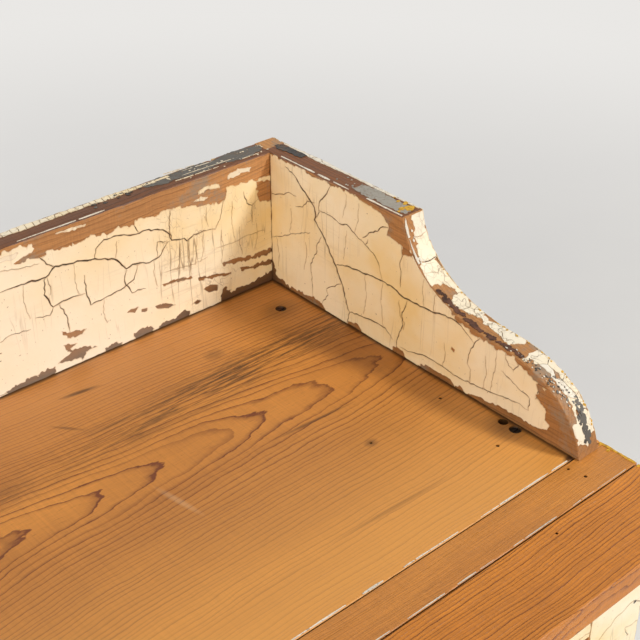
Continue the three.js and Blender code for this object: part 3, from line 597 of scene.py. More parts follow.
def bare_board(node, axes, wear=None):
    return board(node, axes, "bare_pine_boards", "bare_pine", wear)


def painted_board(node, axes, wear=0.9):
    return board(node, axes, "weathered_pine_boards", "cream_paint", wear)


# Flat faces as outlines in mm

# Each look is a direction to face: what is right and what is up in it, and the way out of the face
LOOKS = {
    look: (Vector(right), Vector(up), Vector(right).cross(Vector(up)))
    for look, right, up in (
        ("front", (1, 0, 0), (0, 0, 1)),
        ("rear", (-1, 0, 0), (0, 0, 1)),
        ("right", (0, 1, 0), (0, 0, 1)),
        ("left", (0, -1, 0), (0, 0, 1)),
        ("top", (1, 0, 0), (0, 1, 0)),
    )
}


def face_outlines(node, look):
    """The outlines of a node's flat face that looks one way, and its distance along that way.

    An outer outline runs anticlockwise and a hole's runs clockwise, both in mm.
    """
    right, up, outward = LOOKS[look]
    shape = bmesh.new()
    shape.from_mesh(NODES[node].data)
    bmesh.ops.remove_doubles(shape, verts=shape.verts, dist=1e-5)
    depth = max(v.co.dot(outward) for v in shape.verts)
    shape.faces.ensure_lookup_table()
    chosen = {
        f.index
        for f in shape.faces
        if f.normal.dot(outward) > 0.999 and abs(f.calc_center_median().dot(outward) - depth) < 1e-4
    }
    following = {}
    for index in sorted(chosen):
        for loop in shape.faces[index].loops:
            if not any(f.index in chosen for f in loop.edge.link_faces if f.index != index):
                following[loop.vert.index] = loop.link_loop_next.vert.index
    places = {v.index: Vector((v.co.dot(right), v.co.dot(up))) / MM for v in shape.verts}
    shape.free()
    outlines = []
    while following:
        start = next(iter(following))
        outline, at = [], start
        while at in following:
            outline.append(places[at])
            at = following.pop(at)
        outlines.append(outline)
    return outlines, depth


def sides(outline):
    """Each point of a closed outline with the next one."""
    return list(zip(outline, outline[1:] + outline[:1]))


def area(outline):
    return sum(a.cross(b) for a, b in sides(outline)) / 2


def extent(outlines):
    """The lowest and the highest corner of a box round all the outlines."""
    every = [p for outline in outlines for p in outline]
    return [Vector((pick(p.x for p in every), pick(p.y for p in every))) for pick in (min, max)]


def stepped(a, b, step):
    """Points from a to just before b, at about one step."""
    parts = max(1, round((b - a).length / step))
    return [a.lerp(b, i / parts) for i in range(parts)]


def left_of(way):
    return Vector((-way.y, way.x))


def inward(outline, i):
    """The way into a closed outline at one of its points."""
    return left_of((outline[(i + 1) % len(outline)] - outline[i - 1]).normalized())


def ragged(outline, step, inset, roughness, seed):
    """Points along a closed outline at about one step, moved inwards by an uneven inset, in mm."""
    dense = [point for a, b in sides(outline) for point in stepped(a, b, step)]
    moved = []
    for i, point in enumerate(dense):
        jitter = noise.noise((point.x / 4.3, point.y / 4.3, seed)) * roughness
        jitter += noise.noise((point.x / 1.7, point.y / 1.7, seed)) * roughness * 0.5
        jitter += noise.noise((point.x / 16, point.y / 16, seed)) * roughness * 0.7
        moved.append(point + inward(dense, i) * (inset + jitter))
    return moved


def crosses_itself(outline):
    pairs = sides(outline)
    for i, (a, b) in enumerate(pairs):
        for c, d in pairs[i + 2 :]:
            if d is not a and geometry.intersect_line_line_2d(a, b, c, d):
                return True
    return False


def chipped(outline, step, roughness, seed):
    """An outline broken off in small steps, as brittle paint breaks, in mm."""
    for share in (1, 0.7, 0.4, 0):
        rng = seeded(f"chipped {seed}")
        even = ragged(outline, step, 0, roughness * 0.7 * share, seed)
        moved, left, offset = [], 0, 0
        for i, point in enumerate(even):
            if left <= 0:
                left, offset = rng.choice((1, 2, 2, 4)), rng.uniform(-1, 1) * roughness * share
            left -= 1
            moved.append(point + inward(even, i) * offset)
        if not crosses_itself(moved):
            break
    return moved


# Flaking paint


def crack_quads(path, widths):
    """A crack as short four-sided pieces that share their ends, in mm."""
    banks = []
    for i, point in enumerate(path):
        way = (path[min(i + 1, len(path) - 1)] - path[max(i - 1, 0)]).normalized()
        side = left_of(way) * (widths[i] / 2)
        banks.append((point - side, point + side))
    return [(a[0], b[0], b[1], a[1]) for a, b in zip(banks, banks[1:])]


# The finest crack that is a gap between flakes, in mm: finer ones are hairlines in the finish
LEAST_CRACK = 0.28


def crack_width():
    return bpy.context.scene.sink_paint.crack_width / MM


def drawn_crack(points, width, seed):
    """A crack along given points: uneven in width, wandering a little, thin at its ends."""
    rng = seeded(f"crack {seed}")
    path = []
    corners = [Vector(p) for p in points]
    for a, b in zip(corners, corners[1:]):
        across = left_of(b - a).normalized()
        for i, point in enumerate(stepped(a, b, 3.4)):
            wobble = rng.uniform(-0.75, 0.75) if i else 0
            path.append(point + across * wobble)
    path.append(corners[-1])
    last = len(path) - 1
    widths = [width * min(1, 0.3 + 5 * i / last, 0.3 + 5 * (last - i) / last) * rng.uniform(0.65, 1.3)
              for i in range(last + 1)]
    return crack_quads(path, widths)


def split_cell(cell, rng):
    """Splits a cell of paint with one crack across its shorter way: the crack and the two halves."""
    middle = sum(cell, Vector((0, 0))) / len(cell)
    spreads = []
    for i in range(8):
        way = Vector((math.cos(i * math.pi / 8), math.sin(i * math.pi / 8)))
        reach = [(p - middle).dot(way) for p in cell]
        spreads.append((max(reach) - min(reach), i))
    longest = max(spreads)[1]
    angle = (longest + 4) * math.pi / 8
    angle += 0.8 * (round(angle / (math.pi / 2)) * math.pi / 2 - angle) + rng.gauss(0, 0.17)
    way = Vector((math.cos(angle), math.sin(angle)))
    side = left_of(way)
    middle += side * rng.uniform(-0.16, 0.16) * max(spreads)[0]
    hits = []
    for i, (a, b) in enumerate(sides(cell)):
        da, db = (a - middle).dot(side), (b - middle).dot(side)
        if (da < 0) != (db < 0):
            at = a.lerp(b, da / (da - db))
            hits.append(((at - middle).dot(way), i, at))
    before = [h for h in hits if h[0] < 0]
    after = [h for h in hits if h[0] >= 0]
    if not before or not after:
        return None
    start, end = max(before, key=lambda h: h[0]), min(after, key=lambda h: h[0])
    span = (end[2] - start[2]).length
    parts = max(2, round(span / 5.5))
    bow = rng.uniform(-0.17, 0.17) * min(span, 110)
    path = [start[2]]
    for i in range(1, parts):
        share = i / parts
        drift = bow * math.sin(share * math.pi) + rng.uniform(-0.8, 0.8)
        wander = 4.2 * noise.noise((span, share * span / 13, angle))
        wander += 0.16 * min(span, 260) * noise.noise((angle, share * span / 48, span))
        drift += wander * min(1, 3 * math.sin(share * math.pi))
        path.append(start[2].lerp(end[2], share) + side * drift)
    path.append(end[2])

    def corners(first, last):
        """The cell's corners from after one cut side up to another one."""
        count = (last - first) % len(cell)
        return [cell[(first + 1 + i) % len(cell)] for i in range(count)]

    return path, path + corners(end[1], start[1]), path[::-1] + corners(start[1], end[1])


def rectangle(left, low, right, high):
    return [Vector(p) for p in ((left, low), (right, low), (right, high), (left, high))]


def dried_cells(low, high, cell, stretch, width, seed, loss):
    """Paint that cracked as it dried over a rectangle, in mm: its cracks and its lost cells.

    Each crack splits a cell in two, so old cracks are long and wide, and young ones are fine and
    end against them. loss gives the chance that the cell at a point has fallen off.
    """
    rng = seeded(f"cells {seed}")
    pad = cell * 0.6
    ends = rectangle(low.x - pad, low.y - pad, high.x + pad, high.y + pad)
    squeeze = Vector((1 / stretch, stretch))
    waiting = [[p * squeeze for a, b in sides(ends) for p in stepped(a, b, 12)]]
    cracks, lost = [], []
    while waiting:
        shape = waiting.pop()
        real = [Vector((p.x / squeeze.x, p.y / squeeze.y)) for p in shape]
        centre = sum(real, Vector((0, 0))) / len(real)
        chance = loss(centre.x, centre.y)
        coarse = noise.noise((centre.x / 130, centre.y / 130, seed))
        local = cell * cell * (0.75 + 1.5 * max(0, 0.25 + coarse))
        local *= rng.uniform(0.5, 1.7) * (0.5 if chance > 0.12 else 1)
        size = abs(area(real))
        parts = split_cell(shape, rng) if size > local else None
        if not parts:
            if rng.random() < chance and size < cell * cell * 3:
                turned = real if area(real) > 0 else real[::-1]
                # Corners of a lost cell come off round
                for _ in range(2):
                    turned = [a.lerp(b, 0.25) for a, b in sides(turned)]
                shrunk = rng.uniform(0.55, 0.95)
                turned = [centre + (point - centre) * shrunk for point in turned]
                lost.append(chipped(turned, 2.2, min(1.6, math.sqrt(size) * 0.06), seed + len(lost)))
            continue
        path = [Vector((p.x / squeeze.x, p.y / squeeze.y)) for p in parts[0]]
        boldness = 1.25 - 0.5 * math.log2(max(1, 26 * cell * cell / size)) / 2.6
        boldness *= 0.75 + 1.3 * max(-0.4, noise.noise((centre.x / 70, centre.y / 70, seed + 9)))
        if boldness > 0.1 and rng.random() > 0.08:
            # Young cracks often stop before they reach another
            if size < cell * cell * 5 and rng.random() < 0.35:
                path = path[: max(3, round(len(path) * rng.uniform(0.45, 0.8)))]
            sizes = [max(0.16, width * boldness * rng.uniform(0.65, 1.3)) for _ in path]
            sizes[-1] *= 0.5
            cracks.extend(crack_quads(path, sizes))
            if boldness > 0.55 and rng.random() < 0.5:
                at = path[rng.choice((0, len(path) // 2))]
                lost += blobs([(at.x, at.y, rng.uniform(0.8, 2.6))], seed + len(lost))
        waiting += parts[1:]
    return cracks, lost


def chips(outline, every, size, seed):
    """Small patches lost along an outline's edge, in mm."""
    rng = seeded(f"chips {seed}")
    lost = []
    for a, b in sides(outline):
        for _ in range(int((b - a).length / every + rng.random())):
            middle = a.lerp(b, rng.random())
            reach = size * rng.uniform(0.35, 1.3)
            turn = rng.uniform(0, math.pi)
            stretch = rng.uniform(0.5, 1.0)
            blob = []
            for i in range(9):
                angle = i * math.tau / 9
                spread = reach * rng.uniform(0.6, 1.2)
                offset = Vector((math.cos(angle) * spread, math.sin(angle) * spread * stretch))
                offset.rotate(Matrix.Rotation(turn, 2))
                blob.append(middle + offset)
            lost.append(blob)
    return lost


def flat_place(look, depth):
    """Turns a place on a flat face, in mm, and a height off it into a point in metres."""
    right, up, outward = LOOKS[look]
    return lambda u, v, h: right * (u * MM) + up * (v * MM) + outward * (depth + h * MM)


# Flakes reach this far into the wood, and the crack floor, dark with dirt and painted shade, stands as
# far above it, in mm
PAINT_ROOT = 0.05


def paint_flakes(name, body, outlines, place, cracks=(), lost=(), spacing=9.0, crazed=None, tint=None,
                 creases=(), finish="aged_cream_oil_paint", limit=None):
    """Closed flakes of paint over a face, with dirt and painted shade at the bottom of the cracks between
    them.

    outlines, cracks and lost are in the face's own mm, and place turns them into points in
    metres. The face is cut into triangles by all of these, and the flakes are what is left. limit
    gives the most that the paint may stand out at a place, in mm.
    """
    paint = bpy.context.scene.sink_paint
    film, curl = paint.film / MM, paint.curl / MM
    points, faces, kinds = [], [], []

    def add_face(polygon, kind):
        polygon = list(polygon)
        if area(polygon) < 0:
            polygon.reverse()
        faces.append(list(range(len(points), len(points) + len(polygon))))
        points.extend(polygon)
        kinds.append(kind)

    def near_points(polygon, reach):
        turn = 1 if area(polygon) > 0 else -1
        for a, b in sides(polygon):
            points.append((a + b) / 2 - left_of((b - a).normalized()) * (reach * turn))

    for outline in outlines:
        add_face(outline, "face" if area(outline) > 0 else "lost")
        near_points(outline, -2.2)
    for patch in lost:
        add_face(patch, "lost")
        near_points(patch, 1.8)
    for quad in cracks:
        if area(list(quad)) ** 2 > 1e-6:
            add_face(quad, "crack")
            across = (quad[3] - quad[0]).normalized()
            points.append((quad[0] + quad[1]) / 2 - across * 1.6)
            points.append((quad[2] + quad[3]) / 2 + across * 1.6)
    crease_edges = []
    for a, b in creases:
        first = len(points)
        points += stepped(a, b, spacing) + [b]
        crease_edges += [(i, i + 1) for i in range(first, len(points) - 1)]
    rng = seeded(name)
    low, high = extent(outlines)
    for row in range(int((high.y - low.y) / spacing) + 1):
        for column in range(int((high.x - low.x) / spacing) + 1):
            shift = Vector((column + rng.uniform(0.2, 0.8), row + rng.uniform(0.2, 0.8)))
            points.append(low + shift * spacing)

    cut = geometry.delaunay_2d_cdt(points, crease_edges, faces, 0, 0.004, True)
    flat, _, triangles, _, _, origins = cut
    # A patch whose outline crosses itself can spread over the whole face; such a patch is left out
    spans = [0.0] * len(faces)
    for triangle, origin in zip(triangles, origins):
        size = abs(area([flat[i] for i in triangle]))
        for i in origin:
            spans[i] += size
    for i, face in enumerate(faces):
        if kinds[i] != "face" and spans[i] > 2 + 1.7 * area([points[j] for j in face]):
            kinds[i] = "spread"
    flakes, floors = [], []
    for triangle, origin in zip(triangles, origins):
        found = {kinds[i] for i in origin}
        if "face" in found and "lost" not in found:
            (floors if "crack" in found else flakes).append(triangle)

    # How far each point is from the nearest edge of its flake
    count = {}
    for triangle in flakes:
        for a, b in sides(triangle):
            count[min(a, b), max(a, b)] = count.get((min(a, b), max(a, b)), 0) + 1
    rims = [key for key, times in count.items() if times == 1]
    tree = kdtree.KDTree(len(rims) * 3)
    for i, (a, b) in enumerate(rims):
        for j in range(3):
            tree.insert(flat[a].lerp(flat[b], j / 2).to_3d(), i * 3 + j)
    tree.balance()

    verts, polygons, indices = [], [], []
    layers = {"edge_mm": [], "crazed": [], "tint": []}

    def add_shells(group, material, height):
        parent = {}

        def root(i):
            while parent.setdefault(i, i) != i:
                parent[i] = parent[parent[i]]
                i = parent[i]
            return i

        for triangle in group:
            for other in triangle[1:]:
                parent[root(triangle[0])] = root(other)
        numbers, tints = {}, {}
        for i in dict.fromkeys(i for triangle in group for i in triangle):
            at = flat[i]
            gap = tree.find(at.to_3d())[2] if rims else 0
            island = root(i)
            if island not in tints:
                tints[island] = tint(at.x, at.y, seeded(f"{name} {island}")) if tint else 0
            numbers[i] = len(verts)
            verts.extend((place(at.x, at.y, height(at, gap)), place(at.x, at.y, -PAINT_ROOT)))
            layers["edge_mm"] += (gap, 0)
            layers["crazed"] += [crazed(at.x, at.y) if crazed else 0.35] * 2
            layers["tint"] += [tints[island]] * 2
        outer = {}
        for triangle in group:
            a, b, c = (numbers[i] for i in triangle)
            polygons.extend(((a, b, c), (c + 1, b + 1, a + 1)))
            indices.extend((material, material))
            for p, q in ((a, b), (b, c), (c, a)):
                if not outer.pop((q, p), False):
                    outer[p, q] = True
        for p, q in outer:
            polygons.append((q, p, p + 1, q + 1))
            indices.append(material)

    def flake_height(at, gap):
        lift = 0.55 + noise.noise((at.x / 14, at.y / 14, 3.1))
        waves = noise.noise((at.x / 6, at.y / 6, 7.7)) * 0.07
        height = film + waves + curl * max(0, lift) * math.exp(-gap / 1.9)
        return min(height, limit(at.x, at.y)) if limit else height

    add_shells(flakes, 0, flake_height)
    # The crack floors carry the dark finish of dirt and painted shade
    add_shells(floors, 1, lambda at, gap: PAINT_ROOT)
    mesh = new_mesh(name, verts, polygons)
    for title in (finish, "crack_grime"):
        mesh.materials.append(FINISH[title])
    mesh.polygons.foreach_set("material_index", indices)
    smoothed(mesh, 50)
    for key, values in layers.items():
        mesh.attributes.new(key, "FLOAT", "POINT").data.foreach_set("value", values)
    return new_piece(name, mesh, body, "cream_paint")


def under_button(u, v):
    """The turn button has rubbed the paint thin on all that it turns over."""
    swept, rubbed, unlimited = 50, 0.18, 9
    return rubbed if math.hypot(u, v - BUTTON_HEIGHT) < swept else unlimited


def painted_face(node, look, cell=34, rubs=(), stretch=1.15, lift=0.0, name=None):
    """Dried paint over one flat face of a node. A rub is a place where hands, feet or water wore
    the paint off: where it is in mm, how far it reaches, and the chance of loss at its middle. Water
    loosens paint just above lift, the height of what the face stands on."""
    outlines, depth = face_outlines(node, look)
    seed = sum(ord(c) * (i + 3) for i, c in enumerate(node + look)) % 997

    def loss(u, v):
        chance = 0.008 + 0.5 * math.exp(-max(0, v - lift) / (38 if lift == 0 else 7))
        for ru, rv, reach, most in rubs:
            far = math.hypot(u - ru, v - rv) / reach
            chance += most * math.exp(-far * far)
        return chance

    low, high = extent(outlines)
    cracks, lost = dried_cells(low, high, cell * 1.2, stretch, crack_width() * 0.8, seed, loss)
    for outline in outlines:
        lost += chips(outline, 46, 3.6, seed)
    shaped = [ragged(outline, 5, 0.9, 0.9, seed) for outline in outlines]
    title = f"paint_{node}_{name or look}"
    return paint_flakes(title, BODY_OF[node], shaped, flat_place(look, depth), cracks, lost, spacing=11,
                        limit=under_button if look == "front" and node != "turn_button" else None)


# The gallery's inner faces, as its paint has aged. A crack is its share of the width and its points,
# and a point is two numbers.
# Right side: mm forward of the back board, mm above the top
SIDE_CRACKS = (
    (1.3, (23, 133, 35, 129, 45, 120, 58, 111, 64, 106, 66, 98, 64, 93, 74, 84, 81, 75, 88, 65, 94, 57,
           102, 43, 107, 32, 112, 17, 115, 15, 111, 1)),
    (0.8, (86, 136, 79, 124, 71, 114, 70, 108, 71, 104, 66, 96)),
    (0.8, (71, 106, 82, 106, 92, 105, 101, 103, 109, 106, 116, 102, 134, 95, 144, 91, 151, 84, 156,
           70)),
    (0.6, (0, 96, 20, 103, 27, 108, 38, 108)),
    (0.6, (37, 97, 47, 100, 54, 109, 64, 111)),
    (0.5, (0, 49, 14, 55, 33, 66, 58, 77)),
    (0.7, (74, 79, 67, 66, 68, 61, 59, 44, 59, 36, 61, 23, 62, 10)),
    (0.3, (51, 64, 53, 53, 49, 33)),
    (1.2, (94, 57, 110, 63, 128, 65, 151, 67, 170, 67, 182, 63, 198, 63, 219, 64, 232, 67, 245, 68, 254,
           66, 267, 58)),
    (0.8, (130, 101, 141, 111, 149, 115, 155, 122, 162, 124)),
    (0.6, (133, 95, 136, 98, 137, 102)),
    (0.8, (179, 112, 181, 104, 178, 95, 180, 84, 180, 72)),
    (0.3, (124, 132, 124, 116, 119, 102)),
    (0.3, (108, 135, 107, 125, 103, 111)),
    (0.3, (109, 99, 108, 89, 105, 69)),
    (0.7, (102, 40, 82, 26, 84, 20, 76, 8)),
    (0.8, (189, 61, 183, 43, 185, 34, 179, 17, 177, 5)),
    (0.5, (179, 57, 181, 42, 187, 37, 186, 29)),
    (0.8, (183, 9, 195, 10, 215, 15, 229, 15, 243, 14, 256, 13, 276, 15, 292, 17, 309, 20, 321, 22, 334,
           21)),
    (0.7, (276, 64, 270, 56, 266, 45, 264, 32)),
    (0.5, (268, 28, 268, 16)),
    (0.7, (304, 44, 315, 39, 334, 33, 334, 21)),
    (0.6, (304, 61, 309, 53, 314, 51, 320, 61)),
    (0.9, (343, 49, 340, 36)),
    (0.3, (295, 59, 295, 44, 292, 18)),
    (1.0, (115, 15, 131, 18, 150, 20, 163, 20, 172, 13)),
    (0.3, (208, 92, 207, 78, 209, 66)),
    (0.3, (222, 82, 221, 70, 222, 64)),
    (0.3, (10, 20, 12, 34, 9, 50)),
    (0.3, (134, 62, 137, 42, 133, 22)),
    (0.3, (158, 66, 156, 44, 160, 21)),
    (0.3, (236, 40, 238, 28, 236, 15)),
    (0.3, (283, 50, 286, 34, 284, 18)),
    (0.3, (30, 92, 31, 78, 28, 66)),
)
SIDE_LOST = (
    (118, 141, 119, 139, 128, 136, 142, 136, 156, 133, 161, 126, 162, 121, 161, 116, 172, 114, 180, 112,
     181, 104, 192, 107, 189, 115, 184, 128, 178, 142),
    (186, 122, 194, 108, 205, 98, 220, 86, 233, 81, 247, 69, 260, 66, 279, 64, 298, 62, 312, 64, 325,
     57, 341, 51, 357, 49, 350, 66, 330, 74, 300, 80, 270, 86, 240, 100, 215, 118, 200, 134),
    (-3, 17, 1, 21, 6, 8, 25, 4, 45, 5, 62, 8, 73, 8, 78, 3, 84, -3, -3, -3),
    (-2, 140, 10, 138, 30, 139, 60, 137, 90, 138, 118, 138, 118, 144, -2, 144),
    (110, -2, 112, 5, 124, 6, 131, 2, 133, -2),
    (172, -2, 174, 4, 178, 7, 186, 6, 191, 1, 192, -2),
    (342, 46, 340, 36, 347, 34, 352, 29, 351, 20, 356, 18, 355, 12, 341, 8, 322, 9, 310, 8, 285, 6, 264,
     2, 257, 5, 251, 0, 246, 7, 230, 6, 215, 6, 204, -2, 396, -2, 380, 40, 358, 56, 350, 50),
    (244, 37, 248, 36, 249, 39, 245, 40),
    (343, 54, 339, 50, 342, 45, 348, 47),
)

# Back: mm left of the right side, mm above the top. The photo shows this much of it
HAND_REACH = 302
BACK_CRACKS = (
    (1.2, (294, 101, 274, 101, 250, 99, 240, 106, 215, 102, 201, 99, 181, 91, 170, 77, 163, 79, 145, 74,
           134, 76, 125, 86, 123, 88)),
    (1.0, (201, 99, 199, 108, 190, 114, 176, 113, 159, 108, 146, 108, 128, 102, 121, 95, 119, 88, 105,
           85, 102, 81, 94, 85, 83, 85, 69, 82)),
    (0.8, (119, 118, 121, 98, 119, 89)),
    (1.0, (251, 99, 254, 83, 247, 68, 237, 70, 215, 69)),
    (0.5, (249, 98, 247, 85, 248, 81)),
    (0.8, (247, 68, 251, 61, 265, 64)),
    (0.7, (241, 68, 235, 54, 234, 37)),
    (0.9, (213, 87, 213, 69, 210, 55, 192, 57, 174, 59, 163, 63, 159, 72, 158, 76)),
    (0.9, (170, 77, 173, 67, 172, 61, 166, 50, 160, 51, 151, 49)),
    (0.6, (301, 54, 293, 57, 271, 55)),
    (0.8, (254, 120, 248, 111, 240, 106)),
    (0.7, (125, 89, 135, 92, 136, 77)),
    (0.4, (177, 108, 180, 92)),
    (0.5, (110, 80, 112, 62, 115, 55)),
    (0.4, (91, 81, 94, 53)),
    (0.8, (34, 110, 30, 96, 24, 92, 24, 74)),
    (0.6, (24, 92, 17, 96)),
    (0.6, (57, 109, 63, 91, 69, 82)),
    (0.8, (158, 117, 154, 109)),
    (0.5, (291, 120, 256, 114)),
    (0.3, (48, 104, 49, 84, 46, 60)),
    (0.3, (78, 108, 79, 96, 77, 88)),
    (0.3, (84, 80, 84, 66, 88, 54)),
    (0.3, (140, 74, 141, 60, 138, 46)),
    (0.3, (196, 56, 198, 42, 195, 30)),
    (0.3, (100, 80, 101, 60, 99, 44)),
    (0.3, (62, 78, 61, 58, 64, 46)),
    (0.3, (40, 74, 41, 56, 38, 44)),
    (0.3, (20, 72, 19, 58, 22, 46)),
    (0.3, (70, 62, 50, 60, 30, 62, 10, 60)),
    (0.3, (130, 58, 112, 56, 96, 54, 80, 56)),
    (0.3, (222, 100, 223, 84, 220, 70)),
    (0.3, (272, 100, 274, 84, 270, 66)),
)
BACK_LOST = (
    (302, 142, 302, 138, 288, 136, 272, 137, 258, 133, 260, 128, 269, 124, 279, 122, 264, 121, 249, 119,
     248, 123, 230, 120, 213, 121, 200, 121, 188, 119, 172, 120, 158, 117, 156, 122, 137, 119, 120, 120,
     103, 117, 82, 112, 69, 108, 57, 109, 54, 121, 36, 119, 18, 117, -2, 116, -2, 142),
    (132, 46, 115, 46, 100, 42, 99, 40, 114, 42, 130, 43),
    (91, 37, 73, 34, 52, 29, 52, 26, 72, 30, 90, 34),
    (87, 23, 78, 25, 69, 21, 70, 15, 80, 17),
    (62, 42, 42, 41, 30, 38, 16, 38, -2, 36, -2, 31, 16, 33, 30, 34, 42, 36, 61, 39),
    (41, 29, 23, 26, -2, 25, -2, 19, 22, 22, 40, 26),
    (69, -2, 64, 12, 60, 14, 53, 7, 41, 7, 24, 8, 6, 11, -2, 11, -2, -2),
    (173, 32, 168, 34, 161, 33, 165, 28),
    (158, 29, 151, 28, 152, 25, 158, 26),
    (143, 26, 134, 26, 120, 19, 128, 18, 139, 22),
    (242, 40, 237, 37, 223, 34, 217, 33, 222, 29, 234, 30, 240, 35),
    (242, 26, 228, 22, 235, 19, 233, 14, 239, 17),
    (250, 9, 242, 12, 235, 15, 229, 17, 221, 15, 210, 10, 220, 9, 223, 4),
    (140, 4, 125, 5, 108, 10, 104, 4, 106, -2, 141, -2),
    (168, 7, 155, 8, 153, 10, 147, 3, 150, -2, 168, -2),
    (302, 3, 293, 6, 279, 8, 270, 7, 268, -2, 302, -2),
    (270, 6, 260, 10, 252, 7, 255, -2, 269, -2),
    (18, 115, 1, 112, -2, 112, -2, 90, 2, 90, 14, 94, 18, 105),
    (200, 4, 190, 6, 182, 3, 184, -2, 201, -2),
    (100, 12, 94, 14, 90, 11, 95, 9),
)
# Cream left on the bare strip along the back's top
BACK_REMAINS = (
    (86, 128, 78, 130, 62, 127, 62, 123, 76, 125, 86, 124),
    (52, 133, 40, 135, 24, 132, 26, 128, 40, 130, 52, 128),
    (300, 131, 286, 133, 272, 131, 276, 127, 290, 128),
    (236, 136, 222, 137, 206, 135, 208, 133, 224, 134),
    (92, 118, 84, 121, 76, 118, 80, 115),
)

# The ogee's edge: mm down its curve from the top, mm in from the outer face
OGEE_LOST = (
    (-2, 27, -2, 13, 14, 15, 30, 17, 44, 21, 46, 27),
    (66, 27, 67, 17, 71, 9, 78, 6, 84, 8, 85, 16, 89, 19, 90, 27),
    (90, 27, 90, 17, 98, 18, 106, 15, 114, 10, 124, 12, 134, 11, 144, 14, 152, 17, 160, 18, 160, 27),
    (112, -2, 114, 4, 121, 6, 127, 3, 128, -2),
    (159, 27, 156, 14, 161, 6, 162, -2, 174, -2, 175, 6, 172, 14, 176, 27),
    (176, 27, 178, 17, 190, 14, 205, 15, 220, 14, 233, 16, 243, 19, 245, 27),
    (264, 27, 262, 21, 266, 13, 258, 8, 258, -2, 300, -2, 300, 27),
    (46, 5, 45, 2, 52, -2, 60, -2, 58, 2),
    (232, 10, 238, 8, 243, 11, 240, 15, 234, 14),
    (196, 8, 201, 6, 206, 9, 203, 12),
)
OGEE_CRACKS = (
    (1.0, (44, 1, 45, 12, 43, 24)),
    (0.5, (20, 1, 22, 9, 20, 17)),
    (0.6, (54, 3, 58, 10, 55, 16)),
    (0.7, (92, 1, 100, 7, 98, 16)),
    (0.6, (108, 1, 104, 6, 112, 11)),
    (0.8, (140, 1, 138, 8, 146, 14)),
    (0.8, (186, 1, 190, 8, 186, 15)),
    (0.7, (204, 0, 208, 8, 202, 14)),
    (0.9, (190, 8, 208, 8, 226, 5)),
    (0.7, (222, 0, 226, 8, 220, 14)),
    (0.8, (238, 0, 236, 8, 240, 16)),
)


def from_corner(across, up, mirror=1):
    """Turns listed measures into places on a face."""
    return lambda x, y: Vector((mirror * x + across, y + up))


def placed_points(numbers, move):
    return [move(x, y) for x, y in zip(numbers[::2], numbers[1::2])]


def hand_patches(shapes, move, seed):
    """Listed patches, moved to their place on a face and given ragged edges."""
    patches = []
    for i, numbers in enumerate(shapes):
        shape = placed_points(numbers, move)
        size = abs(area(shape))
        shape = shape if area(shape) > 0 else shape[::-1]
        patches.append(chipped(shape, 1.5, min(1.5, size**0.5 * 0.09), seed + i))
    return patches


def hand_cracks(cracks, move):
    quads = []
    for i, (share, numbers) in enumerate(cracks):
        width = max(LEAST_CRACK, share**1.3 * crack_width())
        quads += drawn_crack(placed_points(numbers, move), width, i + len(numbers) // 2 * 31)
    return quads


def before_back(outline):
    """The part of a side's outline that stands in front of the gallery's back."""
    least = -BACK_FACE + 0.3
    kept = []
    for a, b in sides(outline):
        if a.x >= least:
            kept.append(a)
        if (a.x - least) * (b.x - least) < 0:
            kept.append(a.lerp(b, (least - a.x) / (b.x - a.x)))
    return kept


def worn_plank(node, look, axes, **grain):
    """A plank sawn to an outline, its arrises rounded more in some places than in others."""
    (outline,), depth = face_outlines(node, look)
    low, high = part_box(node)
    thickness = abs((high - low).dot(LOOKS[look][2])) / MM
    seed = len(node) * 3.3
    rim = ragged(outline, 3.5, 0, 0.16, seed)
    wear = bpy.context.scene.sink_pine.arris_wear / MM
    verts, faces = [], []
    count = len(rim)

    def worn(point, side):
        bump = noise.noise((point.x / 21, point.y / 21, seed + side * 5))
        nick = max(0, noise.noise((point.x / 6, point.y / 6, seed + side * 9)) - 0.28) * 5
        grounded = min(1, 0.25 + max(0, point.y - TOP_HEIGHT) / 12)
        return wear * max(0.35, 1.1 + 1.3 * bump + nick) * grounded

    place = flat_place(look, depth)
    for side, degrees in ((0, (0, 30, 60, 90)), (1, (90, 60, 30, 0))):
        for turn in map(math.radians, degrees):
            for i, point in enumerate(rim):
                size = worn(point, side)
                at = point + inward(rim, i) * (size * (1 - math.sin(turn)))
                sunk = size * (1 - math.cos(turn))
                verts.append(place(at.x, at.y, -sunk if side == 0 else sunk - thickness))
    rings = len(verts) // count
    for ring in range(rings - 1):
        for i in range(count):
            a, b = ring * count + i, ring * count + (i + 1) % count
            faces.append((b, a, a + count, b + count))
    faces.append(tuple(range(count)))
    faces.append(tuple(range((rings - 1) * count, rings * count))[::-1])
    mesh = smoothed(new_mesh(node, verts, faces), 24)
    set_grain(mesh, node, axes, **grain)
    wood = "weathered" if node == "gallery_back" else "browned"
    for finish in (f"{wood}_pine_boards", "blackened_pine_edges", "weathered_pine_boards"):
        mesh.materials.append(FINISH[finish])
    # The top edges are black, but the outer corners at the back are rubbed to bright wood
    rubbed_x, rubbed_y = 0.546, 0.243
    for face in mesh.polygons:
        if face.normal.z > 0.4 and face.center.z > (high.z / MM - 3.2) * MM:
            corner = abs(face.center.x) > rubbed_x and face.center.y > rubbed_y
            face.material_index = 2 if corner else 1
    return new_piece("plank_" + node, mesh, BODY_OF[node], "cream_paint", node)


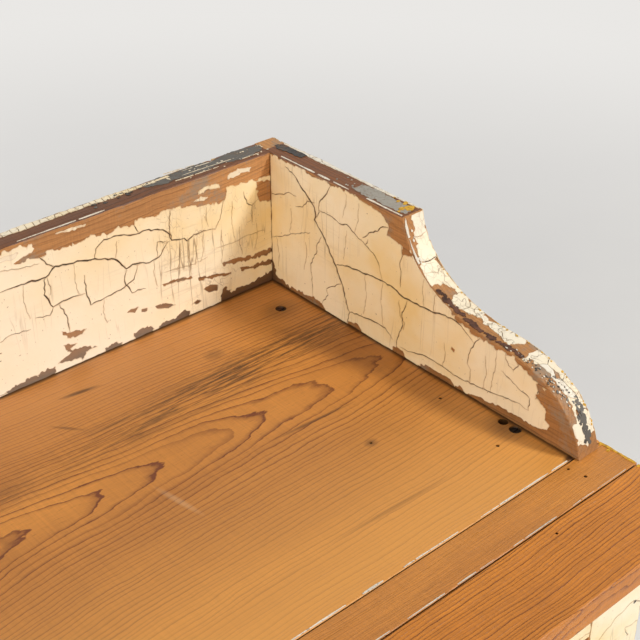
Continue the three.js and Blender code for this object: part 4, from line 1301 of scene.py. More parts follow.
def ogee_curve(outline, look):
    """The sawn curve of a gallery side as points from its tip up to the flat top."""
    top = max(p.y for p in outline)
    if look == "left":
        front = max(p.x for p in outline)
        bend = [p for p in outline if p.x > -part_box("gallery_side_right")[1].y / MM + 100]
    else:
        front = min(p.x for p in outline)
        bend = [p for p in outline if p.x < 100]
    bend = sorted((p for p in bend if TOP_HEIGHT + 1 < p.y), key=lambda p: p.y)
    curve = [p for p in bend if p.y <= top - 0.01]
    curve.append(min((p for p in bend if p.y > top - 0.01), key=lambda p: abs(p.x - front)))
    foot = [p for p in outline if abs(p.x - front) < 0.6 and p.y < curve[0].y]
    return [min(foot, key=lambda p: p.y)] + curve if foot else curve


def ogee_edge(node, look, mirror):
    """Paint along the sawn curve at the front of a gallery side."""
    (outline,), depth = face_outlines(node, look)
    low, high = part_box(node)
    thickness = (high.x - low.x) / MM
    curve = ogee_curve(outline, look)
    lengths = [0.0]
    for a, b in zip(curve, curve[1:]):
        lengths.append(lengths[-1] + (b - a).length)
    total = lengths[-1]
    right_side = look == "left"
    right, up, outward = LOOKS[look]

    def place(s, b, h):
        """b is in from the outer face and h off the wood. So that the paint's outer side is out, s runs
        up the curve from its foot on the gallery's right side and down it on the left side."""
        s = s if right_side else total - s
        i = next((k for k in range(len(curve) - 1) if lengths[k + 1] >= s), 0)
        share = (s - lengths[i]) / (lengths[i + 1] - lengths[i])
        point = curve[i].lerp(curve[i + 1], share)
        ways = []
        for j in (i, i + 1):
            ways.append((curve[min(j + 1, len(curve) - 1)] - curve[max(j - 1, 0)]).normalized())
        way = ways[0].lerp(ways[1], min(1, max(0, share))).normalized()
        flat = point - left_of(way) * (h if right_side else -h)
        return right * (flat.x * MM) + up * (flat.y * MM) + outward * (depth + (b - thickness) * MM)

    def from_top(s, b):
        return Vector((total - s if right_side else s, b))

    border = rectangle(0, 0, total, thickness)
    shaped = ragged(border, 4, 1.0, 1.0, 4.2 + mirror)
    cracks = []
    for i, (share, numbers) in enumerate(OGEE_CRACKS):
        points = placed_points(numbers, from_top)
        cracks += drawn_crack(points, share * (crack_width() * 0.7), i + 70 * mirror)
    lost = hand_patches(OGEE_LOST, from_top, 8 * mirror)
    lost += chips(border, 16, 2.6, 40 + mirror)

    def tint(s, b, rng):
        down = total - s if right_side else s
        return rng.uniform(0.2, 0.5) if down > 175 else rng.uniform(0.05, 0.35)

    def flecks(title, outlines, finish="aged_cream_oil_paint", darkness=0.95):
        if right_side:
            outlines = [[from_top(*p) for p in outline][::-1] for outline in outlines]
        over_paint = 0.3
        paint_flakes(f"{title}_{node}_ogee", BODY_OF[node], outlines,
                     lambda s, b, h: place(s, b, h + over_paint), spacing=3, finish=finish,
                     tint=lambda u, v, rng: darkness + rng.uniform(-0.05, 0.05))

    grimy = scattered(44, 70, 100, 19, 23, 3, 68) + scattered(60, 100, 172, 19, 23, 3.2, 69)
    flecks("grime_flecks", blobs(grimy, 12), "brown_undercoat")
    smears = scattered(34, 224, 242, 5, 12, 2.2, 61) + scattered(56, 239, 264, 7, 15, 2.4, 62)
    smears += scattered(30, 200, 228, 10, 20, 1.2, 63) + scattered(26, 176, 215, 17, 23, 1.3, 64)
    flecks("soot_flecks", blobs(smears, 8))
    primer = broken_line((3, 22.5), (44, 23), 3.6, 66) + blobs(scattered(12, 2, 44, 16, 23, 1.8, 67), 3)
    primer += blobs(scattered(26, 150, 232, 17, 23.5, 1.3, 70), 13)
    flecks("primer_flecks", primer, darkness=0.6)
    dots = [(s, b + 1.2, reach) for s, b, reach in scattered(36, 50, 258, 0, 1.6, 1.4, 65)]
    flecks("mustard_flecks", blobs(dots, 9), "mustard_paint")
    return paint_flakes(f"paint_{node}_ogee", BODY_OF[node], [shaped], place, cracks, lost, spacing=5,
                        crazed=lambda u, v: 0.8, tint=tint)


def edge_paint(node, kind, outlines, tint, cracks=()):
    """A scrap of paint left on the worn top edge of a gallery board."""
    _, depth = face_outlines(node, "top")
    title = f"paint_{node}_top_{kind}"
    paint_flakes(title, BODY_OF[node], outlines, flat_place("top", depth), cracks, spacing=5,
                 crazed=lambda u, v: 0.9, tint=lambda u, v, rng: tint + rng.uniform(-0.06, 0.06))


def strip(start, end, width, uneven, seed):
    """The outline of a strip of paint between two points, uneven in width, in mm."""
    a, b = Vector(start), Vector(end)
    side = left_of((b - a).normalized())
    parts = max(2, round((b - a).length / 6))
    one, other = [], []
    for i in range(parts + 1):
        half = max(width * 0.25, width / 2 + uneven * noise.noise((i * 0.31, seed, 0.5)))
        half *= min(1, 0.55 + 3 * i / parts, 0.55 + 3 * (parts - i) / parts)
        centre = a.lerp(b, i / parts)
        one.append(centre - side * half)
        other.append(centre + side * half)
    return ragged(one + other[::-1], 2.2, 0, width * 0.16, seed)


def broken_line(start, end, width, seed):
    """Short strips of paint with gaps between them, along a line."""
    rng = seeded(f"line {seed}")
    a, b = Vector(start), Vector(end)
    length = (b - a).length
    pieces, at = [], rng.uniform(0, 8)
    while at < length - 12:
        reach = min(length - at, rng.choice((9, 16, 30, 60)) * rng.uniform(0.7, 1.3))
        size = width * rng.uniform(0.5, 1.15)
        ends = a.lerp(b, at / length), a.lerp(b, (at + reach) / length)
        pieces.append(strip(*ends, size, size * 0.6, seed + at))
        at += reach + rng.choice((1.5, 4, 18)) * rng.uniform(0.6, 1.4)
    return pieces


def scattered(count, u_low, u_high, v_low, v_high, reach, seed):
    rng = seeded(f"scattered {seed}")
    return [(rng.uniform(u_low, u_high), rng.uniform(v_low, v_high), reach * rng.uniform(0.3, 1))
            for _ in range(count)]


def blobs(places, seed):
    """Small ragged outlines about (across, up, half width) places, in mm."""
    rng = seeded(f"blobs {seed}")
    outlines = []
    for across, up, reach in places:
        outline = []
        for i in range(11):
            angle = i * math.tau / 11
            side = math.cos(angle) * reach * rng.uniform(0.6, 1.2)
            outline.append(Vector((across + side, up + math.sin(angle) * reach * rng.uniform(0.4, 0.9))))
        outlines.append(outline)
    return outlines


def photo_faces():
    """Paint on the two inner faces in the photo. Past what it shows, the back's paint cracks by rule."""
    outlines, depth = face_outlines("gallery_side_right", "left")
    shaped = ragged(before_back(outlines[0]), 4, 0.5, 0.5, 2.2)
    move = from_corner(-BACK_FACE, TOP_HEIGHT)
    paint_flakes("paint_gallery_side_right_inner", "cabinet", [shaped], flat_place("left", depth),
                 hand_cracks(SIDE_CRACKS, move), hand_patches(SIDE_LOST, move, 0), spacing=7,
                 crazed=lambda u, v: 0.12 + 0.4 * noise.noise((u / 60, v / 60, 5)))

    outlines, depth = face_outlines("gallery_back", "front")
    shaped = ragged(outlines[0], 4, 0.5, 0.5, 6.6)
    move = from_corner(SIDE_FACE, TOP_HEIGHT, -1)
    lost = hand_patches(BACK_LOST, move, 50)
    hand_edge = SIDE_FACE - HAND_REACH

    def far_loss(u, v):
        above = v - TOP_HEIGHT
        strip = 1 / (1 + math.exp(-(above - 122 - 12 * noise.noise((u / 90, 2, 2))) / 3))
        return 0.01 + 0.95 * strip + 0.45 * math.exp(-above / 11)

    ends = Vector((-SIDE_FACE, TOP_HEIGHT)), Vector((hand_edge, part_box("gallery_back")[1].z / MM))
    far_cracks, far_lost = dried_cells(*ends, 31, 1.15, crack_width() * 0.85, 21, far_loss)
    cracks = hand_cracks(BACK_CRACKS, move)
    cracks += [quad for quad in far_cracks if max(p.x for p in quad) < hand_edge + 2]
    lost += [patch for patch in far_lost if max(p.x for p in patch) < hand_edge + 8]

    def crazed(u, v):
        left = SIDE_FACE - u
        return 0.15 + (0.5 if 20 < left < 135 else 0) + 0.3 * noise.noise((u / 50, v / 50, 1))

    place = flat_place("front", depth)
    paint_flakes("paint_gallery_back_inner", "cabinet", [shaped], place, cracks, lost, spacing=7,
                 crazed=crazed)
    kept = hand_patches(BACK_REMAINS, move, 3)
    paint_flakes("paint_gallery_back_remains", "cabinet", kept, place, spacing=5, crazed=crazed,
                 tint=lambda u, v, rng: rng.uniform(0, 0.4))


def other_faces():
    """Paint on the gallery's outer faces and its left inner face, and along its two sawn curves."""
    painted_face("gallery_back", "rear", 40, stretch=1.3, lift=TOP_HEIGHT, name="outer")
    for side, turn in (("right", 1), ("left", -1)):
        rubs = (-140 * turn, 745, 26, 0.8), (250 * turn, 870, 25, 0.6)
        painted_face(f"gallery_side_{side}", side, 33, rubs, lift=TOP_HEIGHT, name="outer")

    outlines, depth = face_outlines("gallery_side_left", "right")
    mirrored = [Vector((-p.x, p.y)) for p in outlines[0]][::-1]
    outline = [Vector((-p.x, p.y)) for p in before_back(mirrored)][::-1]

    def loss(u, v):
        knocked = math.exp(-((u + 130) ** 2 + (v - 745) ** 2) / 900)
        return 0.02 + 0.5 * math.exp(-(v - TOP_HEIGHT) / 8) + 0.8 * knocked

    ends = Vector((-160, TOP_HEIGHT)), Vector((BACK_FACE, TOP_HEIGHT + 140))
    cracks, lost = dried_cells(*ends, 30, 1.1, crack_width() * 0.9, 77, loss)
    lost += hand_patches(SIDE_LOST[:3], from_corner(BACK_FACE - 12, TOP_HEIGHT + 2, -1), 90)
    lost += chips(outline, 30, 3.6, 5)
    paint_flakes("paint_gallery_side_left_inner", "cabinet", [ragged(outline, 4, 0.5, 0.5, 9.2)],
                 flat_place("right", depth), cracks, lost, spacing=8)
    ogee_edge("gallery_side_right", "left", 0)
    ogee_edge("gallery_side_left", "right", 1)


def back_edge():
    """What is left on the top edge of the gallery's back."""
    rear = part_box("gallery_back")[1].y / MM
    # A crackled ridge of cream along the outer arris
    ridge = strip((SIDE_FACE - 104, rear - 5), (-SIDE_FACE + 5, rear - 5), 7, 2, 11)
    rng = seeded("ridge")
    bars = []
    for i in range(132):
        ends = []
        for left, beyond in ((115, 1), (117, -12)):
            ends.append((SIDE_FACE - left - i * 7.1 - rng.uniform(0, 4), rear + beyond))
        bars += drawn_crack(ends, 0.5, i)
    edge_paint("gallery_back", "ridge", [ridge], 0.15, bars)
    # Black paint from there to the corner, scratched through
    black = [strip((SIDE_FACE - 1, rear - 11), (SIDE_FACE - 134, rear - 8), 15, 4, 14)]
    black += blobs(scattered(40, SIDE_FACE - 190, SIDE_FACE - 90, rear - 14, rear - 5, 2.6, 7), 7)
    edge_paint("gallery_back", "black", black, 1.0)
    scratches = blobs(scattered(30, SIDE_FACE - 110, SIDE_FACE + 4, rear - 23, rear - 4, 1.5, 9), 9)
    for i, along in enumerate((0, 6, 14, 19)):
        ends = (SIDE_FACE - 8 - along * 3, rear - 20 + along), (SIDE_FACE - 105, rear - 17 + along)
        scratches += broken_line(*ends, 0.9, 90 + i)
    edge_paint("gallery_back", "scratched", scratches, 0.3)


def paint_in_lines():
    """Paint left in thin lines: in the joints between the top's boards and along the top edges."""
    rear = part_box("gallery_back")[1].y / MM
    for node, kind, start, forward, width, tint, seed in (
        ("gallery_back", "inner_line", -180, rear - 23.2, 1.3, 0.45, 15),
        ("top_board_rear", "joint_filler", -2, -147.9, 1.3, 0.55, 71),
        ("top_board_middle", "joint_filler", 22, -186, 0.6, 0.6, 72),
    ):
        line = broken_line((SIDE_FACE + start, forward), (-SIDE_FACE, forward), width, seed)
        edge_paint(node, kind, line, tint)


def side_edges():
    """What is left on the top edges of the gallery's sides: a broken outer line of chalk, an inner
    line, a grey patch at the front and a black one at the back."""
    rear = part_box("gallery_back")[1].y / MM
    for side, node in ((1, "gallery_side_right"), (-1, "gallery_side_left")):
        front = min(p.y for p in face_outlines(node, "top")[0][0]) + 2.5

        def at(inner, along):
            """A place on the edge, by its distance from the outer face."""
            return side * (SIDE_FACE + GALLERY_BOARD - inner), along

        white = [strip(at(2.6, rear - 19), at(2.6, front + 30), 3.4, 1.6, 17 + side)]
        white += broken_line(at(2.2, front + 40), at(2.2, front), 3, 19 + side)
        edge_paint(node, "outer_line", white, 0.42)
        inner = broken_line(at(23.3, rear - 34), at(23.3, front), 1.5, 27 + side)
        edge_paint(node, "inner_line", inner, 0.5)
        grey = [strip(at(13, front + 1), at(13, front + 66), 17, 4, 37 + side)]
        grey += blobs(scattered(14, at(20, 0)[0], at(6, 0)[0], front + 62, front + 92, 1.6, 41 + side), 5)
        edge_paint(node, "grey", grey, 0.82)
        edge_paint(node, "black", [strip(at(10, rear - 16), at(8, rear - 54), 9, 4, 47 + side)], 0.96)


def mustard_flecks():
    """The older mustard paint, on the gallery near the ogee and along the top's right edge."""
    spots = ((561, 64, 5.6), (555, 68, 3.4), (565, 73, 3.4), (563, 80, 1.8), (550, 66, 1.8),
             (566, 88, 1.4))
    flecks = blobs(spots, 3)
    _, depth = face_outlines("gallery_side_right", "top")
    place = flat_place("top", depth + 0.35 * MM)
    paint_flakes("mustard_flecks_gallery", "cabinet", flecks, place, spacing=3, finish="mustard_paint")
    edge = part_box("top_board_rear")[1].x / MM
    spots = [(edge - 4 - 2 * math.sin(i * 2.4), -152 - i * 9.5, 1.5 + math.sin(i * 1.7) * 0.7)
             for i in range(11) if i != 3]
    flecks = blobs(spots, 4)
    for start, end in ((-150, -186), (-189, -231)):
        flecks.append(strip((edge - 2.3, start), (edge - 2.3, end), 2.2, 1.6, 75 - end))
    place = flat_place("top", face_outlines("top_board_front", "top")[1])
    paint_flakes("mustard_flecks_top", "cabinet", flecks, place, spacing=3, finish="mustard_paint")


# Nails, nail holes and screws


def closed_mesh(name, rings):
    """A mesh of stacked rings of points, closed at both ends. The first ring is the lowest."""
    count = len(rings[0])
    verts = [p for ring in rings for p in ring]
    faces = []
    for level in range(len(rings) - 1):
        for i in range(count):
            a, b = level * count + i, level * count + (i + 1) % count
            faces.append((a, b, b + count, a + count))
    faces.append(tuple(range(count))[::-1])
    faces.append(tuple(range((len(rings) - 1) * count, len(rings) * count)))
    return new_mesh(name, verts, faces)


def ring(radius, height, corners, uneven=0.0, rng=None):
    points = []
    for i in range(corners):
        reach = radius * (1 + (rng.uniform(-uneven, uneven) if rng else 0))
        angle = i * math.tau / corners
        points.append((math.cos(angle) * reach, math.sin(angle) * reach, height))
    return points


def nail_head_mesh():
    """A cut nail's head, one unit wide, hammered out of round."""
    rng = seeded("nail head")
    rows = ((0.44, -0.2), (0.5, -0.02), (0.47, 0.05), (0.3, 0.1), (0.12, 0.12))
    return closed_mesh("nail_head", [ring(r, h, 11, 0.07, rng) for r, h in rows])


def slotted_head_mesh():
    """A slotted screw head, one unit wide: two half discs on a floor."""
    shape = bmesh.new()
    floor = closed_mesh("slotted_head", [ring(0.5, height, 24) for height in (-0.3, -0.14)])
    shape.from_mesh(floor)
    for side in (1, -1):
        rims = []
        for radius, height in ((0.5, -0.2), (0.5, -0.02), (0.46, 0.0)):
            arc = []
            for i in range(13):
                angle = math.pi * i / 12
                across = side * (0.09 + math.sin(angle) * (radius - 0.09))
                arc.append(shape.verts.new((math.cos(angle) * radius, across, height)))
            rims.append(arc if side > 0 else arc[::-1])
        for low, high in zip(rims, rims[1:]):
            for i in range(13):
                j = (i + 1) % 13
                shape.faces.new((low[i], low[j], high[j], high[i]))
        shape.faces.new(rims[0][::-1])
        shape.faces.new(rims[-1])
    shape.to_mesh(floor)
    shape.free()
    return floor


def hole_cutter_mesh():
    return closed_mesh("hole_cutter", [ring(0.42, -0.8, 12), ring(0.5, 0.0, 12), ring(0.5, 0.3, 12)])


def fastener_tree():
    """Puts a fastener on each point, turned to face outwards and about its own axis."""
    tree = bpy.data.node_groups.new("fasteners_on_points", "GeometryNodeTree")
    sockets = {"Points": "Geometry", "Fastener": "Object", "Width": "Float", "Uneven": "Float",
               "Finish": "Material"}
    for name, kind in sockets.items():
        tree.interface.new_socket(name, in_out="INPUT", socket_type="NodeSocket" + kind)
    tree.interface.new_socket("Fasteners", in_out="OUTPUT", socket_type="NodeSocketGeometry")
    add = functools.partial(add_node, tree)
    given = add("NodeGroupInput").outputs
    shape = add("GeometryNodeObjectInfo", {"Object": given["Fastener"]}).outputs["Geometry"]
    facing = add("GeometryNodeInputNamedAttribute", {"Name": "facing"}, data_type="FLOAT_VECTOR")
    facing = add("FunctionNodeEulerToRotation", facing)
    least = add("Math SUBTRACT", 1.0, given["Uneven"])
    share = add("FunctionNodeRandomValue", {"Min": least, "Max": 1.0, "Seed": 4}, data_type="FLOAT")
    width = add("Math MULTIPLY", given["Width"], share)
    size = add("CombineXYZ", {"X": width, "Y": width, "Z": width})
    places = {"Points": given["Points"], "Instance": shape, "Rotation": facing, "Scale": size}
    placed = add("GeometryNodeInstanceOnPoints", places)
    turn = add("FunctionNodeRandomValue", {"Min": 0.0, "Max": 6.28, "Seed": 9}, data_type="FLOAT")
    turn = add("CombineXYZ", {"Z": turn})
    turned = add("GeometryNodeRotateInstances", {"Instances": placed, "Rotation": turn})
    real = add("GeometryNodeRealizeInstances", {"Geometry": turned})
    finished = add("GeometryNodeSetMaterial", {"Geometry": real, "Material": given["Finish"]})
    add("NodeGroupOutput", {"Fasteners": finished})
    return tree


def fastener_mesh(name, shape, width, places, uneven=0.0):
    """One mesh of fasteners at places: x, y and z in mm and the look that each faces."""
    tree = bpy.data.node_groups.get("fasteners_on_points") or fastener_tree()
    points = new_mesh(name, [Vector(p[:3]) * MM for p in places], [])
    facing = points.attributes.new("facing", "FLOAT_VECTOR", "POINT")
    for i, place in enumerate(places):
        facing.data[i].vector = Matrix(LOOKS[place[3]]).transposed().to_euler()
    prototype = bpy.data.objects.new(name + "_shape", shape)

    def modify(holder):
        nodes = holder.modifiers.new("fasteners", "NODES")
        nodes.node_group = tree
        given = {"Fastener": prototype, "Width": width * MM, "Uneven": uneven,
                 "Finish": FINISH["black_iron_forged"]}
        for socket in tree.interface.items_tree:
            if socket.in_out == "INPUT" and socket.name in given:
                nodes[socket.identifier] = given[socket.name]

    mesh = finished_mesh(points, modify)
    mesh.name = name
    bpy.data.objects.remove(prototype)
    return mesh


def fasteners(name, shape, width, places, uneven=0.0, body="cabinet"):
    new_piece(name, fastener_mesh(name, shape, width, places, uneven), body, "black_iron")


# Nails through the top, in mm left of the right gallery side and forward of the gallery back
TOP_NAILS = (
    (21, 254), (110, 260), (34, 332), (14, 390), (11, 405), (81, 433), (23, 470), (300, 455),
    (545, 462), (790, 455), (1060, 254), (1010, 262), (1072, 392), (1078, 408), (1066, 470), (980, 436),
    (420, 402), (690, 404),
)


def top_nail_places(depth):
    height = TOP_HEIGHT + depth
    return [(SIDE_FACE - left, BACK_FACE - forward, height, "top") for left, forward in TOP_NAILS]


def case_nail_places():
    """Nails of the case's boards, the gallery's corners, the face frame and the back planks."""
    places = []
    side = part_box("case_side_right")[1].x / MM
    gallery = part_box("gallery_side_right")[1].x / MM
    for mirror, look in ((1, "right"), (-1, "left")):
        places += [(mirror * side, y, z, look) for z in (110, 369) for y in (-152, -14, 118, 226)]
        places += [(mirror * side, y, 693, look) for y in (-120, 76, 214)]
        places += [(mirror * gallery, 247.5, TOP_HEIGHT + z, look) for z in (17, 69, 122)]
        places += [(mirror * 539, -230, z, "front") for z in (146, 318, 505, 640, 686)]
    places += [(x, -230, 693, "front") for x in (-330, -110, 105, 322)]
    places += [(x, -230, 106, "front") for x in (-400, -205, -12, 190, 395)]
    for i in range(5):
        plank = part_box(f"back_plank_{i + 1}")
        middle = (plank[0].x + plank[1].x) / 2 / MM
        places += [(middle + x, 260, z, "rear") for z in (110, 369, 684) for x in (-62, 58)]
    return places


# Turned knobs

# Radius and distance from the door, as shares of the knob's head and of its projection
KNOB_PROFILE = (
    (0.6, -0.1), (0.65, 0.0), (0.655, 0.05), (0.65, 0.1), (0.58, 0.13), (0.47, 0.19), (0.43, 0.26),
    (0.44, 0.33), (0.54, 0.4), (0.7, 0.47), (0.83, 0.55), (0.95, 0.64), (1.0, 0.73), (0.99, 0.8),
    (0.93, 0.875), (0.8, 0.93), (0.62, 0.965), (0.42, 0.985), (0.2, 0.995),
)


def turned_knob(door):
    node = f"{door}_knob"
    low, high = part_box(node)
    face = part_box(f"{door}_lock_stile")[0].y
    centre = (low + high) / 2
    radius, projection = (high.x - low.x) / 2, face - low.y
    rows = []
    for r, d in KNOB_PROFILE:
        rows.append([
            (centre.x + math.cos(i * math.tau / 56) * r * radius, face - d * projection,
             centre.z + math.sin(i * math.tau / 56) * r * radius)
            for i in range(56)
        ])
    mesh = smoothed(closed_mesh(node, rows), 50)
    set_grain(mesh, node, "yxz", heart=((centre.x + radius * 1.6) / MM, (0.06 - centre.z) / MM), lean=0.0)
    mesh.materials.append(FINISH["stained_maple_turning"])
    return new_piece("turned_" + node, mesh, BODY_OF[node], "dark_wood", node)


def iron_piece(node, wear=0.25):
    mesh = worn_edges(merged_node(node), wear * MM, 2)
    one_finish(mesh, "black_iron_forged")
    return new_piece("iron_" + node, mesh, BODY_OF[node], "black_iron", node)


# Doors

# How a raised panel steps down from its field, in mm: the bevel's width and where the flat edge starts
PANEL_MARGIN = 1.5
PANEL_BEVEL = 36.5
PANEL_FLAT = 10.95
PANEL_DROP = 7.0


def panel_paint(door):
    """Paint that follows a raised panel's field, bevels and flat edges."""
    depth = -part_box(f"{door}_panel")[0].y
    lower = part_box(f"{door}_bottom_rail")[1].z / MM
    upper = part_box(f"{door}_top_rail")[0].z / MM
    stiles = sorted(
        (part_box(f"{door}_hinge_stile"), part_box(f"{door}_lock_stile")), key=lambda pair: pair[0].x
    )
    left, right = stiles[0][1].x / MM, stiles[1][0].x / MM

    def margin(u, v):
        return min(u - left, right - u, v - lower, upper - v) - PANEL_MARGIN

    def place(u, v, h):
        share = 1 - margin(u, v) / PANEL_BEVEL
        drop = max(0, min(PANEL_DROP, share * PANEL_DROP * PANEL_BEVEL / (PANEL_BEVEL - PANEL_FLAT)))
        return Vector((u * MM, -depth - (h - drop) * MM, v * MM))

    def frame_at(inset):
        inset += PANEL_MARGIN
        return rectangle(left + inset, lower + inset, right - inset, upper - inset)

    field, foot = frame_at(PANEL_BEVEL), frame_at(PANEL_FLAT)
    creases = sides(field) + sides(foot) + list(zip(foot, field))
    seed = 141 if "left" in door else 157
    ends = Vector((left, lower)), Vector((right, upper))
    cracks, lost = dried_cells(*ends, 36, 0.9, crack_width() * 0.85, seed,
                               lambda u, v: 0.014 + 0.4 * math.exp(-(v - lower) / 9))
    border = ragged(frame_at(-PANEL_MARGIN + 0.4), 5, 0.8, 0.7, seed)
    name = f"paint_{door}_panel"
    return paint_flakes(name, door, [border], place, cracks, lost, spacing=10, creases=creases)


# Studio

CAMERA_PLACE = (-0.1418, -0.6114, 1.3738)
CAMERA_RIGHT = (0.74901, -0.66256, 0.00192)
CAMERA_UP = (0.35196, 0.40034, 0.84608)
CAMERA_AHEAD = (0.56135, 0.63304, -0.53305)


def aimed(name, data, place, target):
    lamp = new_object(name, data)
    lamp.location = place
    lamp.rotation_euler = (Vector(target) - Vector(place)).to_track_quat("-Z", "Y").to_euler()
    return lamp


def area_lamp(name, power, size, place, target, colour="#ffffff"):
    data = bpy.data.lights.new(name, "AREA")
    data.shape = "DISK"
    data.size = size
    data.energy = power
    data.color = linear(colour)[:3]
    return aimed(name, data, place, target)


def studio_floor(colour):
    half = 40
    corners = [corner.to_3d() for corner in rectangle(-half, -half, half, half)]
    mesh = new_mesh("studio_floor", corners, [(0, 1, 2, 3)])
    floor = new_object("studio_floor", mesh)
    add = new_finish("painted_studio_floor")
    # Matt floor paint: even and pale, and far off it fades into the pale room
    place = add("TexCoord").outputs["Object"]
    mottled = add("TexNoise", place, 3.0, 3.0)
    share = add("MapRange", mottled, 0.3, 0.7, 0.0, 1.0)
    tone = add("Mix RGBA", share, colour, "#ebebea")
    shader = add("BsdfPrincipled", {"Base Color": tone, "Roughness": 0.8})
    away = add("VectorMath LENGTH", place)
    fade = add("MapRange", away, 1.1, 3.6, interpolation_type="SMOOTHSTEP")
    path = add("LightPath").outputs
    seen = add("Math MAXIMUM", path["Is Camera Ray"], path["Is Glossy Ray"])
    fade = add("Math MULTIPLY", fade, seen)
    glow = add("Emission", {"Color": "#efedea", "Strength": 0.95})
    mixed = add("MixShader", fade, shader, glow)
    add("OutputMaterial", mixed)
    mesh.materials.append(FINISH["painted_studio_floor"])


def pale_room(strength):
    world = bpy.data.worlds.new("pale_room")
    bpy.context.scene.world = world
    world.use_nodes = True
    world.node_tree.nodes.clear()
    add = functools.partial(add_node, world.node_tree)
    path = add("LightPath").outputs
    seen = add("Math MAXIMUM", path["Is Camera Ray"], path["Is Glossy Ray"])
    seen = add("Math MAXIMUM", seen, path["Is Transmission Ray"])
    light = add("Background", {"Color": "#fbfaf8", "Strength": strength})
    backdrop = add("Background", {"Color": "#efedea", "Strength": 0.95})
    mixed = add("MixShader", seen, light, backdrop)
    add("OutputWorld", mixed)


# Operators


class SINK_OT_finishes(bpy.types.Operator):
    """Mix the wood, paint and iron finishes"""

    bl_idname = "sink.finishes"
    bl_label = "Finishes"

    def execute(self, context):
        make_finishes(context)
        return {"FINISHED"}


class SINK_OT_plank_top(bpy.types.Operator):
    """Lay the three boards of the top, with their nail holes"""

    bl_idname = "sink.plank_top"
    bl_label = "Plank Top"

    def execute(self, context):
        nail_hole, knot_hole = 3.6, 9.5
        knot = [(SIDE_FACE - 5.5, BACK_FACE - 313, TOP_HEIGHT, "top")]
        cutter = hole_cutter_mesh()
        holes = fastener_mesh("nail_hole_cutters", cutter, nail_hole, top_nail_places(0), 0.25)
        wide = fastener_mesh("knot_hole_cutter", cutter, knot_hole, knot)
        both = bmesh.new()
        both.from_mesh(holes)
        both.from_mesh(wide)
        both.to_mesh(holes)
        both.free()
        cutter = new_object("nail_hole_cutter", holes)
        board("top_board_rear", "xyz", "oiled_pine_boards", "oiled_pine", 1.2, cutter,
              heart=(BACK_FACE - 172, 29.5 - TOP_HEIGHT), lean=-0.067, shift=0.0)
        board("top_board_middle", "xyz", "oiled_pine_close_ringed", "oiled_pine", 1.2, cutter,
              heart=(140, 60 - TOP_HEIGHT), lean=0.01)
        board("top_board_front", "xyz", "oiled_pine_ridged", "oiled_pine", 1.6, cutter,
              heart=(60, 90 - TOP_HEIGHT), lean=0.004)
        bpy.data.objects.remove(cutter)
        return {"FINISHED"}


class SINK_OT_gallery(bpy.types.Operator):
    """Saw the gallery's three planks and paint them"""

    bl_idname = "sink.gallery"
    bl_label = "Gallery"

    def execute(self, context):
        worn_plank("gallery_back", "front", "xzy", heart=(TOP_HEIGHT + 60, -160), lean=0.02)
        worn_plank("gallery_side_right", "left", "yzx", heart=(TOP_HEIGHT + 90, -480), lean=0.03)
        worn_plank("gallery_side_left", "right", "yzx", heart=(TOP_HEIGHT + 40, 620), lean=-0.02)
        photo_faces()
        other_faces()
        back_edge()
        paint_in_lines()
        side_edges()
        mustard_flecks()
        return {"FINISHED"}


class SINK_OT_case(bpy.types.Operator):
    """Build the case: sides, shelf, bottom, back planks and the strips that hold them"""

    bl_idname = "sink.case"
    bl_label = "Case"

    def execute(self, context):
        for side, look, rub in (("left", "left", 1), ("right", "right", -1)):
            painted_board(f"case_side_{side}", "zyx", None)
            rubs = ((150 * rub, 60, 70, 0.3), (-205 * rub, 420, 45, 0.22), (230 * rub, 690, 50, 0.25))
            painted_face(f"case_side_{side}", look, 38, rubs, stretch=0.9)
        for node in ("bottom_board", "shelf", "shelf_cleat_rear", "rear_top_rail"):
            bare_board(node, "xyz")
        for node in ("shelf_cleat_left", "shelf_cleat_right", "top_cleat_left", "top_cleat_right"):
            bare_board(node, "yxz")
        for node in ("foot_block_left", "foot_block_right", "door_stop_strip"):
            bare_board(node, "zxy")
        for i in range(5):
            bare_board(f"back_plank_{i + 1}", "zxy", 0.9)
        return {"FINISHED"}


class SINK_OT_face_frame(bpy.types.Operator):
    """Join the face frame and paint it"""

    bl_idname = "sink.face_frame"
    bl_label = "Face Frame"

    def execute(self, context):
        for name in ("left", "right", "centre"):
            node = f"face_stile_{name}"
            painted_board(node, "zxy")
            rubs = [(0, 470, 48, 0.5)] if name == "centre" else []
            painted_face(node, "front", 30, rubs, stretch=0.85)
        painted_face("face_stile_left", "left", 24, stretch=0.8)
        painted_face("face_stile_right", "right", 24, stretch=0.8)
        for node in ("face_rail_top", "face_apron"):
            painted_board(node, "xzy")
            painted_face(node, "front", 32, stretch=1.3)
        return {"FINISHED"}


class SINK_OT_doors(bpy.types.Operator):
    """Join both doors and paint them"""

    bl_idname = "sink.doors"
    bl_label = "Doors"

    def execute(self, context):
        for door, side in (("door_left", -1), ("door_right", 1)):
            for part in ("hinge_stile", "lock_stile"):
                painted_board(f"{door}_{part}", "zxy")
            for part in ("top_rail", "bottom_rail"):
                painted_board(f"{door}_{part}", "xzy")
            painted_board(f"{door}_panel", "zxy", 0.5)
            rubs = ((side * 65, 395, 30, 0.7), (side * 60, 470, 26, 0.4))
            painted_face(f"{door}_lock_stile", "front", 30, rubs, stretch=0.85)
            painted_face(f"{door}_hinge_stile", "front", 32, stretch=0.85)
            painted_face(f"{door}_top_rail", "front", 32, stretch=1.25)
            painted_face(f"{door}_bottom_rail", "front", 32, stretch=1.25)
            panel_paint(door)
        return {"FINISHED"}


